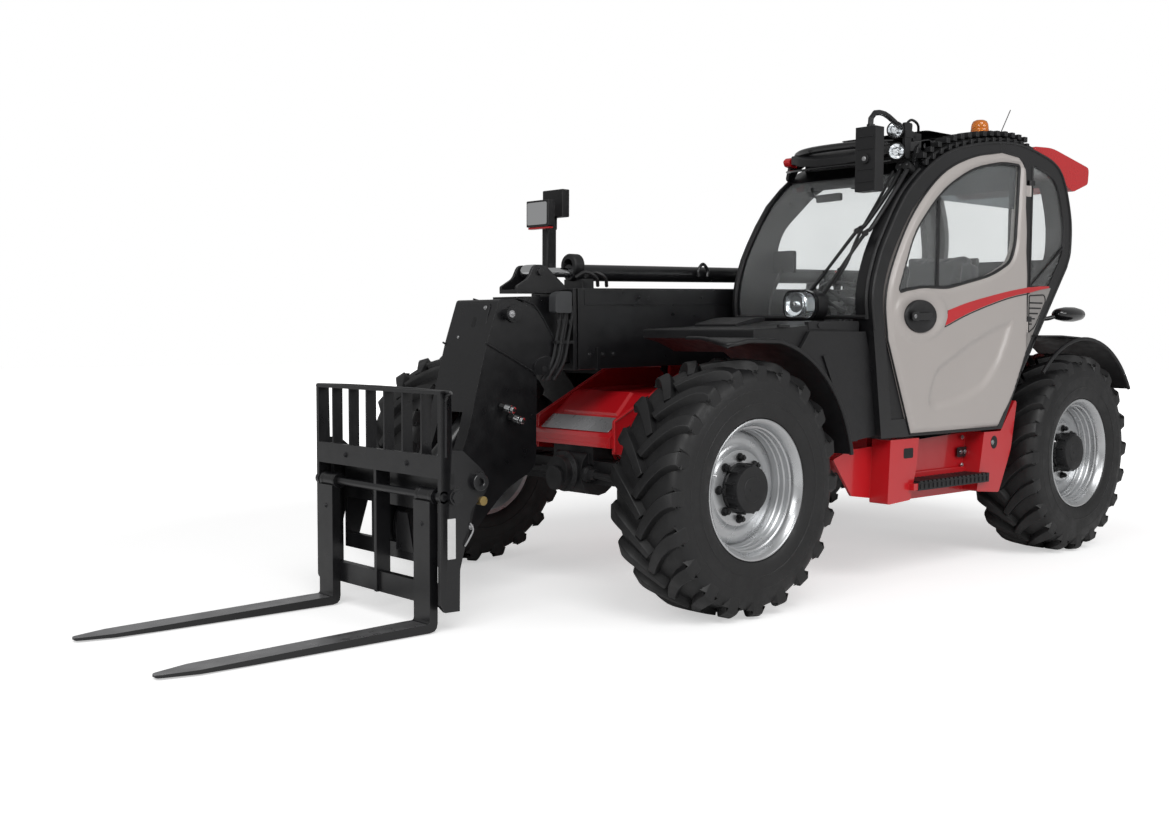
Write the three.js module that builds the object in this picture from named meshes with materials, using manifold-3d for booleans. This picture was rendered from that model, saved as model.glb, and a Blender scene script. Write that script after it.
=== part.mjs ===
// Telescopic handler with four-wheel steering, a pallet-fork carriage and a side-mounted engine.
// Millimetres. +X forward, +Y to the machine's left, +Z up. Z = 0 is the ground.
// Places along X are measured from the front axle, and the group is moved at the end
// so that the middle of the machine's box lies over the origin.
import * as THREE from "three";
import { mergeVertices } from "three/addons/utils/BufferGeometryUtils.js";
import Module from "manifold-3d";

const wasm = await Module();
wasm.setup();

// ---- Driving dimensions --------------------------------------------------
const FIT = 0.3; // gap between faces that touch
const RUNNING_GAP = 0.5; // gap at sliding and turning seats
const SIDE_GAP = 8; // free gap beside parts that move
const BORE_SIDES = 24;

// Wheels and axles
const WHEELBASE = 2900;
const ROLL_RADIUS = 588;
const TYRE_WIDTH = 405;
const WHEEL_CENTRE_Y = 995;
const WHEEL_SEGMENTS = 20;
const RIM_SEAT_RADIUS = 300;
const RIM_FLANGE_RADIUS = 322;
const RIM_WIDTH = 364;
const RIM_LIP = 12;
const DISC_OFFSET = 70; // wheel disc's outer face from the wheel's middle plane
const DISC_EDGE_OFFSET = 38; // the same at the disc's dished edge
const DISC_RADIUS = 262;
const DISC_FLAT_RADIUS = 172;
const DISC_THICKNESS = 14;
const HUB_RADIUS = 108;
const HUB_LENGTH = 84;
const KINGPIN_Y = 840;
const KINGPIN_RADIUS = 38;
const KNUCKLE_HALF_HEIGHT = 150;
const KNUCKLE_RADIUS = 92;
const AXLE_BEAM_HALF = 62;
const AXLE_HOUSING_RADIUS = 124;
const AXLE_SEAT_Z = 720;
const YOKE_ARM = 34;
const YOKE_RADIUS = 50;

// Chassis, whose rails stand clear of the boom between them
const BOOM_WIDTH = 320;
const RAIL_GAP = 14;
const RAIL_THICKNESS = 22;
const RAIL_OUTER_Y = BOOM_WIDTH / 2 + RAIL_GAP + RAIL_THICKNESS;
const RAIL_BOTTOM = 470;
const RAIL_TOP = 880;
const NOSE_HALF_WIDTH = 300;
const NOSE_PLATE = 18;
const REAR_AXLE_X = -WHEELBASE;
const REAR_ARCH = 340; // half length of the raised underside over the rear axle
const REAR_END_X = REAR_AXLE_X - 830;
const TOWER_TOP = 1560;
const BEARER_TOP = 620;
const BEARER_END_Y = 985;
const STEP_OUTER_Y = 1112;

// Fenders
const FENDER_INNER_RADIUS = 674;
const FENDER_THICKNESS = 8;
const FENDER_OUTER_Y = 1190;
const FENDER_INNER_Y = 700;
const RIGHT_FENDER_FRONT_X = -80;

// Cab
const CAB_INNER_Y = RAIL_OUTER_Y + 9;
const CAB_OUTER_Y = 1120;
const CAB_WALL = 46;
const CAB_RING = 92; // width of the side frame around door and quarter glass
const DOOR_THICKNESS = 34;
const DOOR_GAP = 7;
const DOOR_HINGE_X = -2344;
const GLASS = 6;
const ROOF_THICKNESS = 46;
const SILL_Z = 765;
const FLOOR_TOP = SILL_Z + CAB_WALL;

// Boom
const BOOM_PIVOT_X = -3050;
const BOOM_PIVOT_Z = 1400;
const BOOM_SLOPE = 0.0211; // radians below level at rest
const BOOM_TOP = 176;
const BOOM_BOTTOM = -227;
const BOOM_WALL = 12;
const BOOM_FRONT = 3229;
const BOOM_REAR = -190;
const PIVOT_PIN_RADIUS = 45;
const STAGE_GAP = 8;
const PAD_LENGTH = 120;

// Boom head and fork carriage
const HEAD_HALF_WIDTH = 165;
const HEAD_PLATE = 20;
const TILT_PIVOT_X = 985;
const TILT_PIVOT_Z = 350;
const TILT_PIN_RADIUS = 32;
const TILT_PIN_REACH = 205;
const CARRIAGE_HALF_WIDTH = 506;
const CARRIAGE_FRONT_X = 1258;
const CARRIAGE_PLATE = 20;
const CARRIER_TOP = 690;
const CARRIER_BACK_X = 1120;
const FORK_FACE_X = 1279;
const FORK_WIDTH = 120;
const FORK_THICKNESS = 42;
const FORK_LENGTH = 1200;
const FORK_BOTTOM_Z = 4;
const FORK_CENTRE_Y = 394;
const FORK_SHAFT_Z = 590;
const FORK_SHAFT_RADIUS = 18;

// Hydraulic cylinders
const LIFT_BASE = [-2650, 760];
const LIFT_EYE = [-1650, 1010];
const TILT_BASE = [560, 1040];
const TILT_EYE = [1050, 555];

// ---- Materials -----------------------------------------------------------
function finish(colour, roughness, metalness) {
  return new THREE.MeshStandardMaterial({ color: colour, roughness, metalness });
}
const red = finish(0xc8141c, 0.4, 0.1);
const black = finish(0x16171a, 0.45, 0.2);
const blackPlastic = finish(0x1d1e20, 0.6, 0.0);
const doorGrey = finish(0xb5ada8, 0.45, 0.1);
const rubber = finish(0x17181a, 0.85, 0.0);
const silver = finish(0xc9cccf, 0.35, 0.8);
const castIron = finish(0x2a2b2d, 0.7, 0.5);
const chrome = finish(0xe2e4e6, 0.12, 1.0);
const glass = finish(0x8a9396, 0.05, 0.0);
const amber = finish(0xf08a1e, 0.2, 0.0);
const fabric = finish(0x3a3b3e, 0.9, 0.0);
const bareSteel = finish(0xa8abad, 0.35, 0.9);

// ---- Geometry helpers ----------------------------------------------------
function toSolid(geometry) {
  const bare = geometry.clone();
  bare.deleteAttribute("normal");
  bare.deleteAttribute("uv");
  const merged = mergeVertices(bare, 1e-4);
  return new wasm.Manifold(
    new wasm.Mesh({
      numProp: 3,
      vertProperties: new Float32Array(merged.attributes.position.array),
      triVerts: new Uint32Array(merged.index.array),
    }),
  );
}

function toGeometry(solid) {
  const mesh = solid.getMesh();
  const geometry = new THREE.BufferGeometry();
  geometry.setAttribute("position", new THREE.BufferAttribute(mesh.vertProperties, 3));
  geometry.setIndex(new THREE.BufferAttribute(mesh.triVerts, 1));
  geometry.computeVertexNormals();
  return geometry;
}

function join(...solids) {
  return solids.reduce((sum, solid) => sum.add(solid));
}

function cut(solid, ...tools) {
  return tools.reduce((rest, tool) => rest.subtract(tool), solid);
}

function box(x0, x1, y0, y1, z0, z1) {
  const geometry = new THREE.BoxGeometry(x1 - x0, y1 - y0, z1 - z0);
  geometry.translate((x0 + x1) / 2, (y0 + y1) / 2, (z0 + z1) / 2);
  return toSolid(geometry);
}

// Closed shape whose corners [a, b, radius] are rounded; radius may be left out.
function roundedShape(corners) {
  const shape = new THREE.Shape();
  const points = corners.map(([a, b]) => new THREE.Vector2(a, b));
  corners.forEach(([, , radius = 0], i) => {
    const corner = points[i];
    const before = points[(i + points.length - 1) % points.length];
    const after = points[(i + 1) % points.length];
    const room = 0.48 * Math.min(corner.distanceTo(before), corner.distanceTo(after));
    const reach = Math.min(radius, room);
    const start = corner.clone().add(before.clone().sub(corner).setLength(reach));
    const end = corner.clone().add(after.clone().sub(corner).setLength(reach));
    if (i === 0) shape.moveTo(start.x, start.y);
    else shape.lineTo(start.x, start.y);
    if (reach > 0) shape.quadraticCurveTo(corner.x, corner.y, end.x, end.y);
  });
  shape.closePath();
  return shape;
}

function extrude(shape, depth, curveSegments = 3) {
  return new THREE.ExtrudeGeometry(shape, { depth, bevelEnabled: false, curveSegments });
}

// Plate standing in the XZ plane from y0 to y1.
function plate(shape, y0, y1, curveSegments) {
  const geometry = extrude(shape, y1 - y0, curveSegments);
  geometry.rotateX(Math.PI / 2);
  geometry.translate(0, y1, 0);
  return toSolid(geometry);
}

// Plate lying in the XY plane from z0 to z1.
function slab(shape, z0, z1, curveSegments) {
  const geometry = extrude(shape, z1 - z0, curveSegments);
  geometry.translate(0, 0, z0);
  return toSolid(geometry);
}

function rodBetween(from, to, radius, sides = 12) {
  const start = new THREE.Vector3(...from);
  const axis = new THREE.Vector3(...to).sub(start);
  const geometry = new THREE.CylinderGeometry(radius, radius, axis.length(), sides);
  geometry.translate(0, axis.length() / 2, 0);
  const turn = new THREE.Quaternion().setFromUnitVectors(
    new THREE.Vector3(0, 1, 0),
    axis.clone().normalize(),
  );
  geometry.applyQuaternion(turn);
  geometry.translate(...from);
  return toSolid(geometry);
}

// Body of revolution about the Y axis through (x, z); profile points are [radius, y].
function turned(profile, x, z, segments = WHEEL_SEGMENTS) {
  const points = profile.map(([radius, y]) => new THREE.Vector2(radius, y));
  const start = Math.PI / segments;
  const geometry = new THREE.LatheGeometry(points, segments, start, 2 * Math.PI);
  geometry.translate(x, 0, z);
  return toSolid(geometry);
}

function pinY(x, z, radius, y0, y1, sides = 12) {
  return rodBetween([x, y0, z], [x, y1, z], radius, sides);
}

function pinZ(x, y, radius, z0, z1, sides = 12) {
  return rodBetween([x, y, z0], [x, y, z1], radius, sides);
}

// Hole whose flats stay clear of a faceted pin of the given radius as it turns.
function boreRadius(radius) {
  return (radius + RUNNING_GAP) / Math.cos(Math.PI / BORE_SIDES);
}

function boreY(x, z, pinRadius, y0, y1) {
  return pinY(x, z, boreRadius(pinRadius), y0, y1, BORE_SIDES);
}

function boreZ(x, y, pinRadius, z0, z1) {
  return pinZ(x, y, boreRadius(pinRadius), z0, z1, BORE_SIDES);
}

// Tube with a round section along a smooth curve through the points.
function bentRod(points, radius, steps = 10, sides = 8) {
  const path = new THREE.CatmullRomCurve3(points.map((p) => new THREE.Vector3(...p)));
  const section = new THREE.Shape();
  section.absarc(0, 0, radius, 0, 2 * Math.PI);
  const options = { steps, extrudePath: path, curveSegments: sides / 2 };
  return toSolid(new THREE.ExtrudeGeometry(section, options));
}

function addPart(group, name, solid, material) {
  const mesh = new THREE.Mesh(toGeometry(solid), material);
  mesh.name = name;
  group.add(mesh);
  return mesh;
}

function mirrored(solid) {
  const geometry = toGeometry(solid);
  geometry.deleteAttribute("normal");
  geometry.scale(1, -1, 1);
  const index = geometry.index.array;
  for (let i = 0; i < index.length; i += 3) {
    [index[i + 1], index[i + 2]] = [index[i + 2], index[i + 1]];
  }
  return toSolid(geometry);
}

// A solid built for the left side, or its mirror image for the right side.
function onSide(side, solid) {
  return side > 0 ? solid : mirrored(solid);
}

// Outline points moved inwards by a distance, for a counter-clockwise outline.
function inset(points, distance) {
  const count = points.length;
  return points.map((point, i) => {
    const before = points[(i + count - 1) % count];
    const after = points[(i + 1) % count];
    const inEdge = point.clone().sub(before).normalize();
    const outEdge = after.clone().sub(point).normalize();
    const inNormal = new THREE.Vector2(-inEdge.y, inEdge.x);
    const outNormal = new THREE.Vector2(-outEdge.y, outEdge.x);
    const middle = inNormal.add(outNormal).normalize();
    const spread = Math.max(0.5, middle.dot(outNormal));
    return point.clone().addScaledVector(middle, distance / spread);
  });
}

function vectors(list) {
  return list.map(([a, b]) => new THREE.Vector2(a, b));
}

// ---- Wheels --------------------------------------------------------------
function lathed(outline) {
  return [...outline, outline[0]];
}

function rimProfile() {
  const half = RIM_WIDTH / 2;
  const bed = half - RIM_LIP - 10;
  return [
    [0, DISC_OFFSET - DISC_THICKNESS],
    [DISC_FLAT_RADIUS, DISC_OFFSET - DISC_THICKNESS],
    [DISC_RADIUS, DISC_EDGE_OFFSET - DISC_THICKNESS],
    [RIM_SEAT_RADIUS - 12, -half],
    [RIM_FLANGE_RADIUS, -half],
    [RIM_FLANGE_RADIUS, -half + RIM_LIP],
    [RIM_SEAT_RADIUS, -bed],
    [RIM_SEAT_RADIUS, bed],
    [RIM_FLANGE_RADIUS, half - RIM_LIP],
    [RIM_FLANGE_RADIUS, half],
    [RIM_SEAT_RADIUS - 2, half],
    [DISC_RADIUS, DISC_EDGE_OFFSET],
    [DISC_FLAT_RADIUS, DISC_OFFSET],
    [HUB_RADIUS, DISC_OFFSET],
    [HUB_RADIUS, DISC_OFFSET + HUB_LENGTH],
    [0, DISC_OFFSET + HUB_LENGTH],
  ];
}

function tyreProfile() {
  const half = TYRE_WIDTH / 2;
  const bead = RIM_WIDTH / 2;
  const tread = ROLL_RADIUS / Math.cos(Math.PI / WHEEL_SEGMENTS);
  const rightHalf = [
    [tread, half - 105],
    [tread - 14, half - 38],
    [tread - 32, half - 12],
    [tread - 100, half],
    [RIM_FLANGE_RADIUS + 1, bead + 2],
    [RIM_FLANGE_RADIUS + 1, bead - RIM_LIP - 2],
    [RIM_SEAT_RADIUS + RUNNING_GAP, bead - RIM_LIP - 11],
  ];
  const leftHalf = rightHalf.map(([radius, y]) => [radius, -y]);
  return lathed([...leftHalf.reverse(), ...rightHalf]);
}

function knuckle() {
  const inner = KINGPIN_Y - 18;
  const discBack = WHEEL_CENTRE_Y + DISC_OFFSET - DISC_THICKNESS - FIT;
  const body = slab(
    roundedShape([
      [-KNUCKLE_RADIUS, inner, 20],
      [KNUCKLE_RADIUS, inner, 20],
      [KNUCKLE_RADIUS, discBack - 24],
      [-KNUCKLE_RADIUS, discBack - 24],
    ]),
    ROLL_RADIUS - KNUCKLE_HALF_HEIGHT + YOKE_ARM + RUNNING_GAP,
    ROLL_RADIUS + KNUCKLE_HALF_HEIGHT - YOKE_ARM - RUNNING_GAP,
  );
  const flangeRadius = KNUCKLE_HALF_HEIGHT - YOKE_ARM - SIDE_GAP;
  const flange = pinY(0, ROLL_RADIUS, flangeRadius, discBack - 25, discBack, 16);
  const pin = pinZ(0, KINGPIN_Y, KINGPIN_RADIUS, ROLL_RADIUS - 140, ROLL_RADIUS + 140, 12);
  const arm = slab(
    roundedShape([
      [-40, inner + 4],
      [-40, KINGPIN_Y + 30],
      [-215, KINGPIN_Y - 20, 16],
      [-215, KINGPIN_Y - 70, 16],
    ]),
    ROLL_RADIUS - 30,
    ROLL_RADIUS + 10,
  );
  return join(body, flange, pin, arm);
}

function yokeArm(rootY, z) {
  const arm = box(-YOKE_RADIUS, YOKE_RADIUS, rootY, KINGPIN_Y, z, z + YOKE_ARM);
  return join(arm, pinZ(0, KINGPIN_Y, YOKE_RADIUS, z, z + YOKE_ARM));
}

// Beam with a yoke at each end, its differential housing and the input flange.
function axle(housingX) {
  const beamEnd = KINGPIN_Y - KNUCKLE_RADIUS - 34;
  const beam = box(
    -AXLE_BEAM_HALF,
    AXLE_BEAM_HALF,
    -beamEnd - 10,
    beamEnd + 10,
    ROLL_RADIUS - 58,
    ROLL_RADIUS + 58,
  );
  const housing = pinY(0, ROLL_RADIUS, AXLE_HOUSING_RADIUS, -120, 120, 16);
  const flange = rodBetween([housingX, 0, ROLL_RADIUS - 30], [0, 0, ROLL_RADIUS - 30], 62);
  const pad = box(-70, 70, -150, 150, ROLL_RADIUS + 40, AXLE_SEAT_Z - FIT);
  const holes = [];
  const yokes = [1, -1].map((side) => {
    const web = box(-58, 58, beamEnd - 10, beamEnd + 20, -KNUCKLE_HALF_HEIGHT, KNUCKLE_HALF_HEIGHT);
    const top = yokeArm(beamEnd, KNUCKLE_HALF_HEIGHT - YOKE_ARM);
    const low = yokeArm(beamEnd, -KNUCKLE_HALF_HEIGHT);
    const yoke = join(web, top, low).translate([0, 0, ROLL_RADIUS]);
    const bore = boreZ(0, KINGPIN_Y, KINGPIN_RADIUS, ROLL_RADIUS - 160, ROLL_RADIUS + 160);
    holes.push(onSide(side, bore));
    return onSide(side, yoke);
  });
  return cut(join(beam, housing, flange, pad, ...yokes), ...holes);
}

function addWheels(group) {
  const corners = [
    ["front_left", 0, 1],
    ["front_right", 0, -1],
    ["rear_left", -WHEELBASE, 1],
    ["rear_right", -WHEELBASE, -1],
  ];
  const rim = turned(rimProfile(), 0, 0).translate([0, WHEEL_CENTRE_Y, ROLL_RADIUS]);
  const tyre = turned(tyreProfile(), 0, 0).translate([0, WHEEL_CENTRE_Y, ROLL_RADIUS]);
  const hub = knuckle();
  corners.forEach(([place, x, side]) => {
    const corner = new THREE.Group();
    corner.position.x = x;
    addPart(corner, `rim_${place}`, onSide(side, rim), silver);
    addPart(corner, `tyre_${place}`, onSide(side, tyre), rubber);
    addPart(corner, `knuckle_${place}`, onSide(side, hub), castIron);
    group.add(corner);
  });
  const front = addPart(group, "front_axle", axle(200), castIron);
  const rear = addPart(group, "rear_axle", axle(-200), castIron);
  front.position.x = 0;
  rear.position.x = -WHEELBASE;
}

// ---- Chassis -------------------------------------------------------------
function railShape() {
  return roundedShape([
    [-60, RAIL_BOTTOM + 210],
    [-200, RAIL_BOTTOM + 90, 40],
    [-420, RAIL_BOTTOM, 60],
    [REAR_AXLE_X + REAR_ARCH + 200, RAIL_BOTTOM, 60],
    [REAR_AXLE_X + REAR_ARCH, RAIL_BOTTOM + 230, 60],
    [REAR_AXLE_X - REAR_ARCH, RAIL_BOTTOM + 230, 60],
    [REAR_AXLE_X - REAR_ARCH - 90, RAIL_BOTTOM + 20, 40],
    [REAR_END_X + 40, RAIL_BOTTOM + 20],
    [REAR_END_X + 40, 960, 60],
    [BOOM_PIVOT_X - 210, TOWER_TOP, 90],
    [BOOM_PIVOT_X + 170, TOWER_TOP, 110],
    [-2540, RAIL_TOP + 20, 120],
    [-1000, RAIL_TOP, 60],
    [-60, RAIL_TOP - 20],
  ]);
}

function noseSide() {
  const outline = roundedShape([
    [60, 690],
    [60, 855, 14],
    [-425, 1095, 60],
    [-860, 1095, 60],
    [-900, 900],
    [-900, 700],
    [-560, 560, 50],
    [-120, 672, 50],
  ]);
  return plate(outline, NOSE_HALF_WIDTH - NOSE_PLATE, NOSE_HALF_WIDTH);
}

function noseDeck() {
  const outline = roundedShape([
    [92, AXLE_SEAT_Z],
    [92, 772],
    [-200, 985, 30],
    [-520, 1000],
    [-520, 982],
    [-205, 967, 30],
    [70, 764],
    [70, AXLE_SEAT_Z],
  ]);
  return plate(outline, -NOSE_HALF_WIDTH + 2, NOSE_HALF_WIDTH - 2);
}

function chassis() {
  const railInner = RAIL_OUTER_Y - RAIL_THICKNESS;
  const rail = plate(railShape(), railInner, RAIL_OUTER_Y);
  const bore = boreY(BOOM_PIVOT_X, BOOM_PIVOT_Z, PIVOT_PIN_RADIUS, railInner - 10, RAIL_OUTER_Y + 10);
  const leftRail = cut(rail, bore);
  const nose = noseSide();
  const crossZ = [
    [-420, RAIL_BOTTOM, 40],
    [-1500, RAIL_BOTTOM, 40],
    [-2340, RAIL_BOTTOM, 40],
  ];
  const crossPlates = crossZ.map(([x, z, length]) =>
    box(x - length, x + length, -railInner - 1, railInner + 1, z + 10, z + 60),
  );
  const axleSeats = [-85, REAR_AXLE_X].map((x) =>
    box(x - 90, x + 90, -railInner - 1, railInner + 1, AXLE_SEAT_Z, AXLE_SEAT_Z + 40),
  );
  const noseWeb = box(-560, -520, -NOSE_HALF_WIDTH + 2, NOSE_HALF_WIDTH - 2, 700, 1000);
  const frontSeat = box(-180, 75, 1 - NOSE_HALF_WIDTH, NOSE_HALF_WIDTH - 1, AXLE_SEAT_Z, AXLE_SEAT_Z + 40);
  const liftPin = pinY(LIFT_BASE[0], LIFT_BASE[1], 30, -railInner - 1, railInner + 1);
  const bearerX = [
    [-1190, -1100],
    [-2100, -2010],
  ];
  const bearers = bearerX.map(([x0, x1]) =>
    box(x0, x1, -1010, BEARER_END_Y, BEARER_TOP - 60, BEARER_TOP),
  );
  const cabMounts = bearerX.flatMap(([x0, x1]) =>
    [300, 860].map((y) => box(x0 + 15, x1 - 15, y, y + 90, BEARER_TOP - 1, SILL_Z - FIT)),
  );
  const rearBeam = box(
    REAR_END_X + 40,
    REAR_END_X + 110,
    -railInner - 1,
    railInner + 1,
    RAIL_BOTTOM + 60,
    900,
  );
  return join(
    leftRail,
    mirrored(leftRail),
    nose,
    mirrored(nose),
    noseDeck(),
    noseWeb,
    frontSeat,
    liftPin,
    rearBeam,
    ...crossPlates,
    ...axleSeats,
    ...bearers,
    ...cabMounts,
    engineTray(),
  );
}

function stepFrame() {
  const panel = roundedShape([
    [-905, 706],
    [-770, 664, 10],
    [-925, 470, 10],
    [-1225, 428],
    [-1260, 520, 20],
    [-2010, 490, 20],
    [-1990, 430],
    [-2130, 410, 14],
    [-2238, 640, 30],
    [-2290, 905, 14],
    [-2272, 920, 10],
    [-2135, 753],
  ]);
  const back = plate(panel, BEARER_END_Y + FIT, BEARER_END_Y + 15);
  const frontPost = plate(
    roundedShape([
      [-1092, 752],
      [-1075, 424, 14],
      [-1275, 434, 14],
      [-1320, 600, 20],
      [-1340, 752],
    ]),
    999,
    STEP_OUTER_Y,
  );
  const rearPost = plate(
    roundedShape([
      [-2128, 752],
      [-2272, 920, 10],
      [-2290, 905, 14],
      [-2238, 640, 30],
      [-2122, 410, 14],
      [-1900, 430, 14],
      [-1960, 752],
    ]),
    999,
    STEP_OUTER_Y,
  );
  const tread = box(-1960, -1250, 999, STEP_OUTER_Y, 486, 520);
  const lip = box(-1990, -1260, STEP_OUTER_Y - 1, STEP_OUTER_Y + 30, 486, 520);
  return join(back, frontPost, rearPost, tread, lip);
}

function counterweight() {
  const outline = roundedShape([
    [REAR_END_X, 560, 40],
    [REAR_END_X + 40 - FIT, 560],
    [REAR_END_X + 40 - FIT, 980],
    [REAR_END_X, 980, 40],
  ]);
  const weight = plate(outline, -430, 430);
  const lip = box(REAR_END_X - 70, REAR_END_X + 1, -90, 90, 600, 640);
  const upper = box(REAR_END_X - 70, REAR_END_X + 1, -90, 90, 700, 740);
  return join(weight, lip, upper);
}

// ---- Fenders -------------------------------------------------------------
function arcPoints(radius, fromDegrees, toDegrees, count) {
  return Array.from({ length: count + 1 }, (unused, i) => {
    const angle = THREE.MathUtils.degToRad(fromDegrees + ((toDegrees - fromDegrees) * i) / count);
    return new THREE.Vector2(radius * Math.cos(angle), ROLL_RADIUS + radius * Math.sin(angle));
  });
}

const FENDER_FRONT_DEGREES = 70;
const FENDER_MIDDLE_DEGREES = 97;
const FENDER_REAR_DEGREES = 169.5;
function fenderArc(radius, endDegrees) {
  return arcPoints(radius, FENDER_MIDDLE_DEGREES, endDegrees, 8);
}

function fenderBand(endDegrees, front) {
  const outerRadius = FENDER_INNER_RADIUS + FENDER_THICKNESS;
  const outer = fenderArc(outerRadius, endDegrees);
  const inner = fenderArc(FENDER_INNER_RADIUS, endDegrees).reverse();
  const frontLow = front.map(({ x, y }) => new THREE.Vector2(x, y - FENDER_THICKNESS)).reverse();
  const points = [...front, ...outer, ...inner, ...frontLow];
  return plate(new THREE.Shape(points), FENDER_INNER_Y, FENDER_OUTER_Y);
}

// Front mudguard: an arc whose leading edge is swept back towards the nose.
function frontFenderSolid() {
  const radius = FENDER_INNER_RADIUS + FENDER_THICKNESS;
  const lead = arcPoints(radius, FENDER_FRONT_DEGREES, FENDER_MIDDLE_DEGREES, 5).slice(0, -1);
  const [tip] = lead;
  const plan = slab(
    roundedShape([
      [-700, FENDER_INNER_Y - 1],
      [-38, FENDER_INNER_Y - 1],
      [25, FENDER_INNER_Y + 60, 20],
      [tip.x - 4, FENDER_OUTER_Y + 1],
      [-700, FENDER_OUTER_Y + 1],
    ]),
    0,
    1400,
  );
  const armZ = ROLL_RADIUS + 472;
  const arm = box(-560, -480, NOSE_HALF_WIDTH + FIT, FENDER_INNER_Y + 60, armZ, armZ + 30);
  return join(fenderBand(FENDER_REAR_DEGREES, lead).intersect(plan), arm);
}

function addFenders(group) {
  const rearEdge = [
    [500, 1284],
    [270, 1285],
    [60, 1275],
  ];
  const armZ = ROLL_RADIUS + FENDER_INNER_RADIUS - 30;
  const rearArm = box(-60, 60, RAIL_OUTER_Y + FIT, FENDER_INNER_Y + 60, armZ, armZ + 36);
  const behindCab = plate(new THREE.Shape(inset(cabOutline(), -SIDE_GAP)), 0, CAB_OUTER_Y + SIDE_GAP);
  const frontFender = frontFenderSolid();
  const rearBand = cut(fenderBand(147, vectors(rearEdge)), behindCab.translate([WHEELBASE, 0, 0]));
  const rearFender = join(rearBand, rearArm);
  // The fender on the engine's side stops short, without the swept tip.
  const shortFender = frontFender.intersect(
    box(-800, RIGHT_FENDER_FRONT_X, 0, FENDER_OUTER_Y + 1, 0, 1400),
  );
  [1, -1].forEach((side) => {
    const name = side > 0 ? "left" : "right";
    const front = side > 0 ? frontFender : shortFender;
    addPart(group, `front_fender_${name}`, onSide(side, front), blackPlastic);
    const rear = addPart(group, `rear_fender_${name}`, onSide(side, rearFender), blackPlastic);
    rear.position.x = -WHEELBASE;
  });
}

// ---- Cab -----------------------------------------------------------------
// Side outline, counter-clockwise seen from the left: sill, rear edge is last.
function cabOutline() {
  const curve = new THREE.SplineCurve(
    vectors([
      [-920, 1308],
      [-899, 1456],
      [-927, 1603],
      [-1013, 1779],
      [-1217, 2040],
      [-1568, 2249],
      [-2101, 2342],
      [-2475, 2311],
      [-2703, 2223],
      [-2820, 1989],
      [-2832, 1786],
      [-2792, 1679],
    ]),
  );
  const arch = curve.getPoints(26);
  const corners = vectors([
    [-2320, 1077],
    [-2125, SILL_Z],
    [-1000, SILL_Z],
  ]);
  return [...arch, ...corners];
}

function doorOutline() {
  const rearX = DOOR_HINGE_X - 12;
  const curve = new THREE.SplineCurve(
    vectors([
      [-1038, 1259],
      [-1015, 1458],
      [-1075, 1648],
      [-1239, 1902],
      [-1482, 2112],
      [-1758, 2224],
      [-2053, 2278],
    ]),
  );
  const arch = curve.getPoints(16);
  const corners = vectors([
    [-2230, 2268],
    [-2300, 2212],
    [rearX + 8, 1500],
    [rearX, 1200],
    [-2220, 950],
    [-2072, 780],
    [-1244, 780],
  ]);
  return [...arch, ...corners];
}

function windowOutline() {
  return [
    [-1110, 1495, 40],
    [-1192, 1512, 60],
    [-1323, 1530, 60],
    [-1551, 1530, 60],
    [-1983, 1612, 120],
    [-2170, 1690, 120],
    [-2215, 1790, 100],
    [-2240, 2225, 30],
    [-2055, 2225, 80],
    [-1761, 2168, 120],
    [-1485, 2034, 120],
    [-1243, 1807, 100],
  ];
}

function cabFrame() {
  const outline = cabOutline();
  const inner = inset(outline, CAB_WALL);
  const ring = inset(outline, CAB_RING);
  const shell = plate(new THREE.Shape(outline), CAB_INNER_Y, CAB_OUTER_Y);
  const room = plate(new THREE.Shape(inner), CAB_INNER_Y + CAB_WALL, CAB_OUTER_Y - CAB_WALL * 2);
  const doorHole = plate(
    new THREE.Shape(inset(doorOutline(), -DOOR_GAP)),
    CAB_OUTER_Y - DOOR_THICKNESS - FIT - DOOR_GAP,
    CAB_OUTER_Y + 1,
  );
  const opening = plate(new THREE.Shape(ring), CAB_OUTER_Y - CAB_WALL * 2 - 1, CAB_OUTER_Y + 1);
  const doorway = opening.intersect(box(-2290, -900, 900, 1200, SILL_Z + 60, 2400));
  const quarter = opening.intersect(box(-2900, DOOR_HINGE_X - 40, 900, 1200, QUARTER_SPLIT_Z, 2400));
  const behindPanel = box(-2900, DOOR_HINGE_X - 40, 900, CAB_OUTER_Y - 40, 900, QUARTER_SPLIT_Z + 1);
  const windscreenHole = windscreenSpace(0);
  const roofHole = box(-2350, -1700, CAB_INNER_Y + 110, CAB_OUTER_Y - 170, 2150, 2400);
  const hollow = cut(
    shell,
    room,
    doorHole,
    doorway,
    quarter,
    opening.intersect(behindPanel),
    windscreenHole,
    rearWindowSpace(0),
    rightWindowSpace(0),
    roofHole,
  );
  return join(hollow, ...HINGE_HEIGHTS.map((z) => pillarHinge(z)));
}

const QUARTER_SPLIT_Z = 1560;
const SCREEN_BASE_Z = 1385;
const SCREEN_TOP_X = -1330;
function windscreenSpace(clearance) {
  return box(
    SCREEN_TOP_X + clearance,
    -850,
    CAB_INNER_Y + 52 + clearance,
    CAB_OUTER_Y - 100 - clearance,
    SCREEN_BASE_Z + clearance,
    2300,
  );
}

function rearWindowSpace(clearance) {
  return box(
    -2900,
    -2700,
    CAB_INNER_Y + 90 + clearance,
    CAB_OUTER_Y - 140 - clearance,
    1730 + clearance,
    2180 - clearance,
  );
}

function rightWindowSpace(clearance) {
  const outline = [
    [-1180, 1450, 60],
    [-2560, 1500, 60],
    [-2680, 1750, 80],
    [-2620, 2130, 120],
    [-2100, 2220, 160],
    [-1620, 2130, 160],
    [-1230, 1830, 120],
  ];
  const points = roundedShape(outline).getPoints(4);
  const smaller = inset(withoutRepeats(points), clearance);
  return plate(new THREE.Shape(smaller), CAB_INNER_Y - 1, CAB_INNER_Y + CAB_WALL + 1);
}

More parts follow.
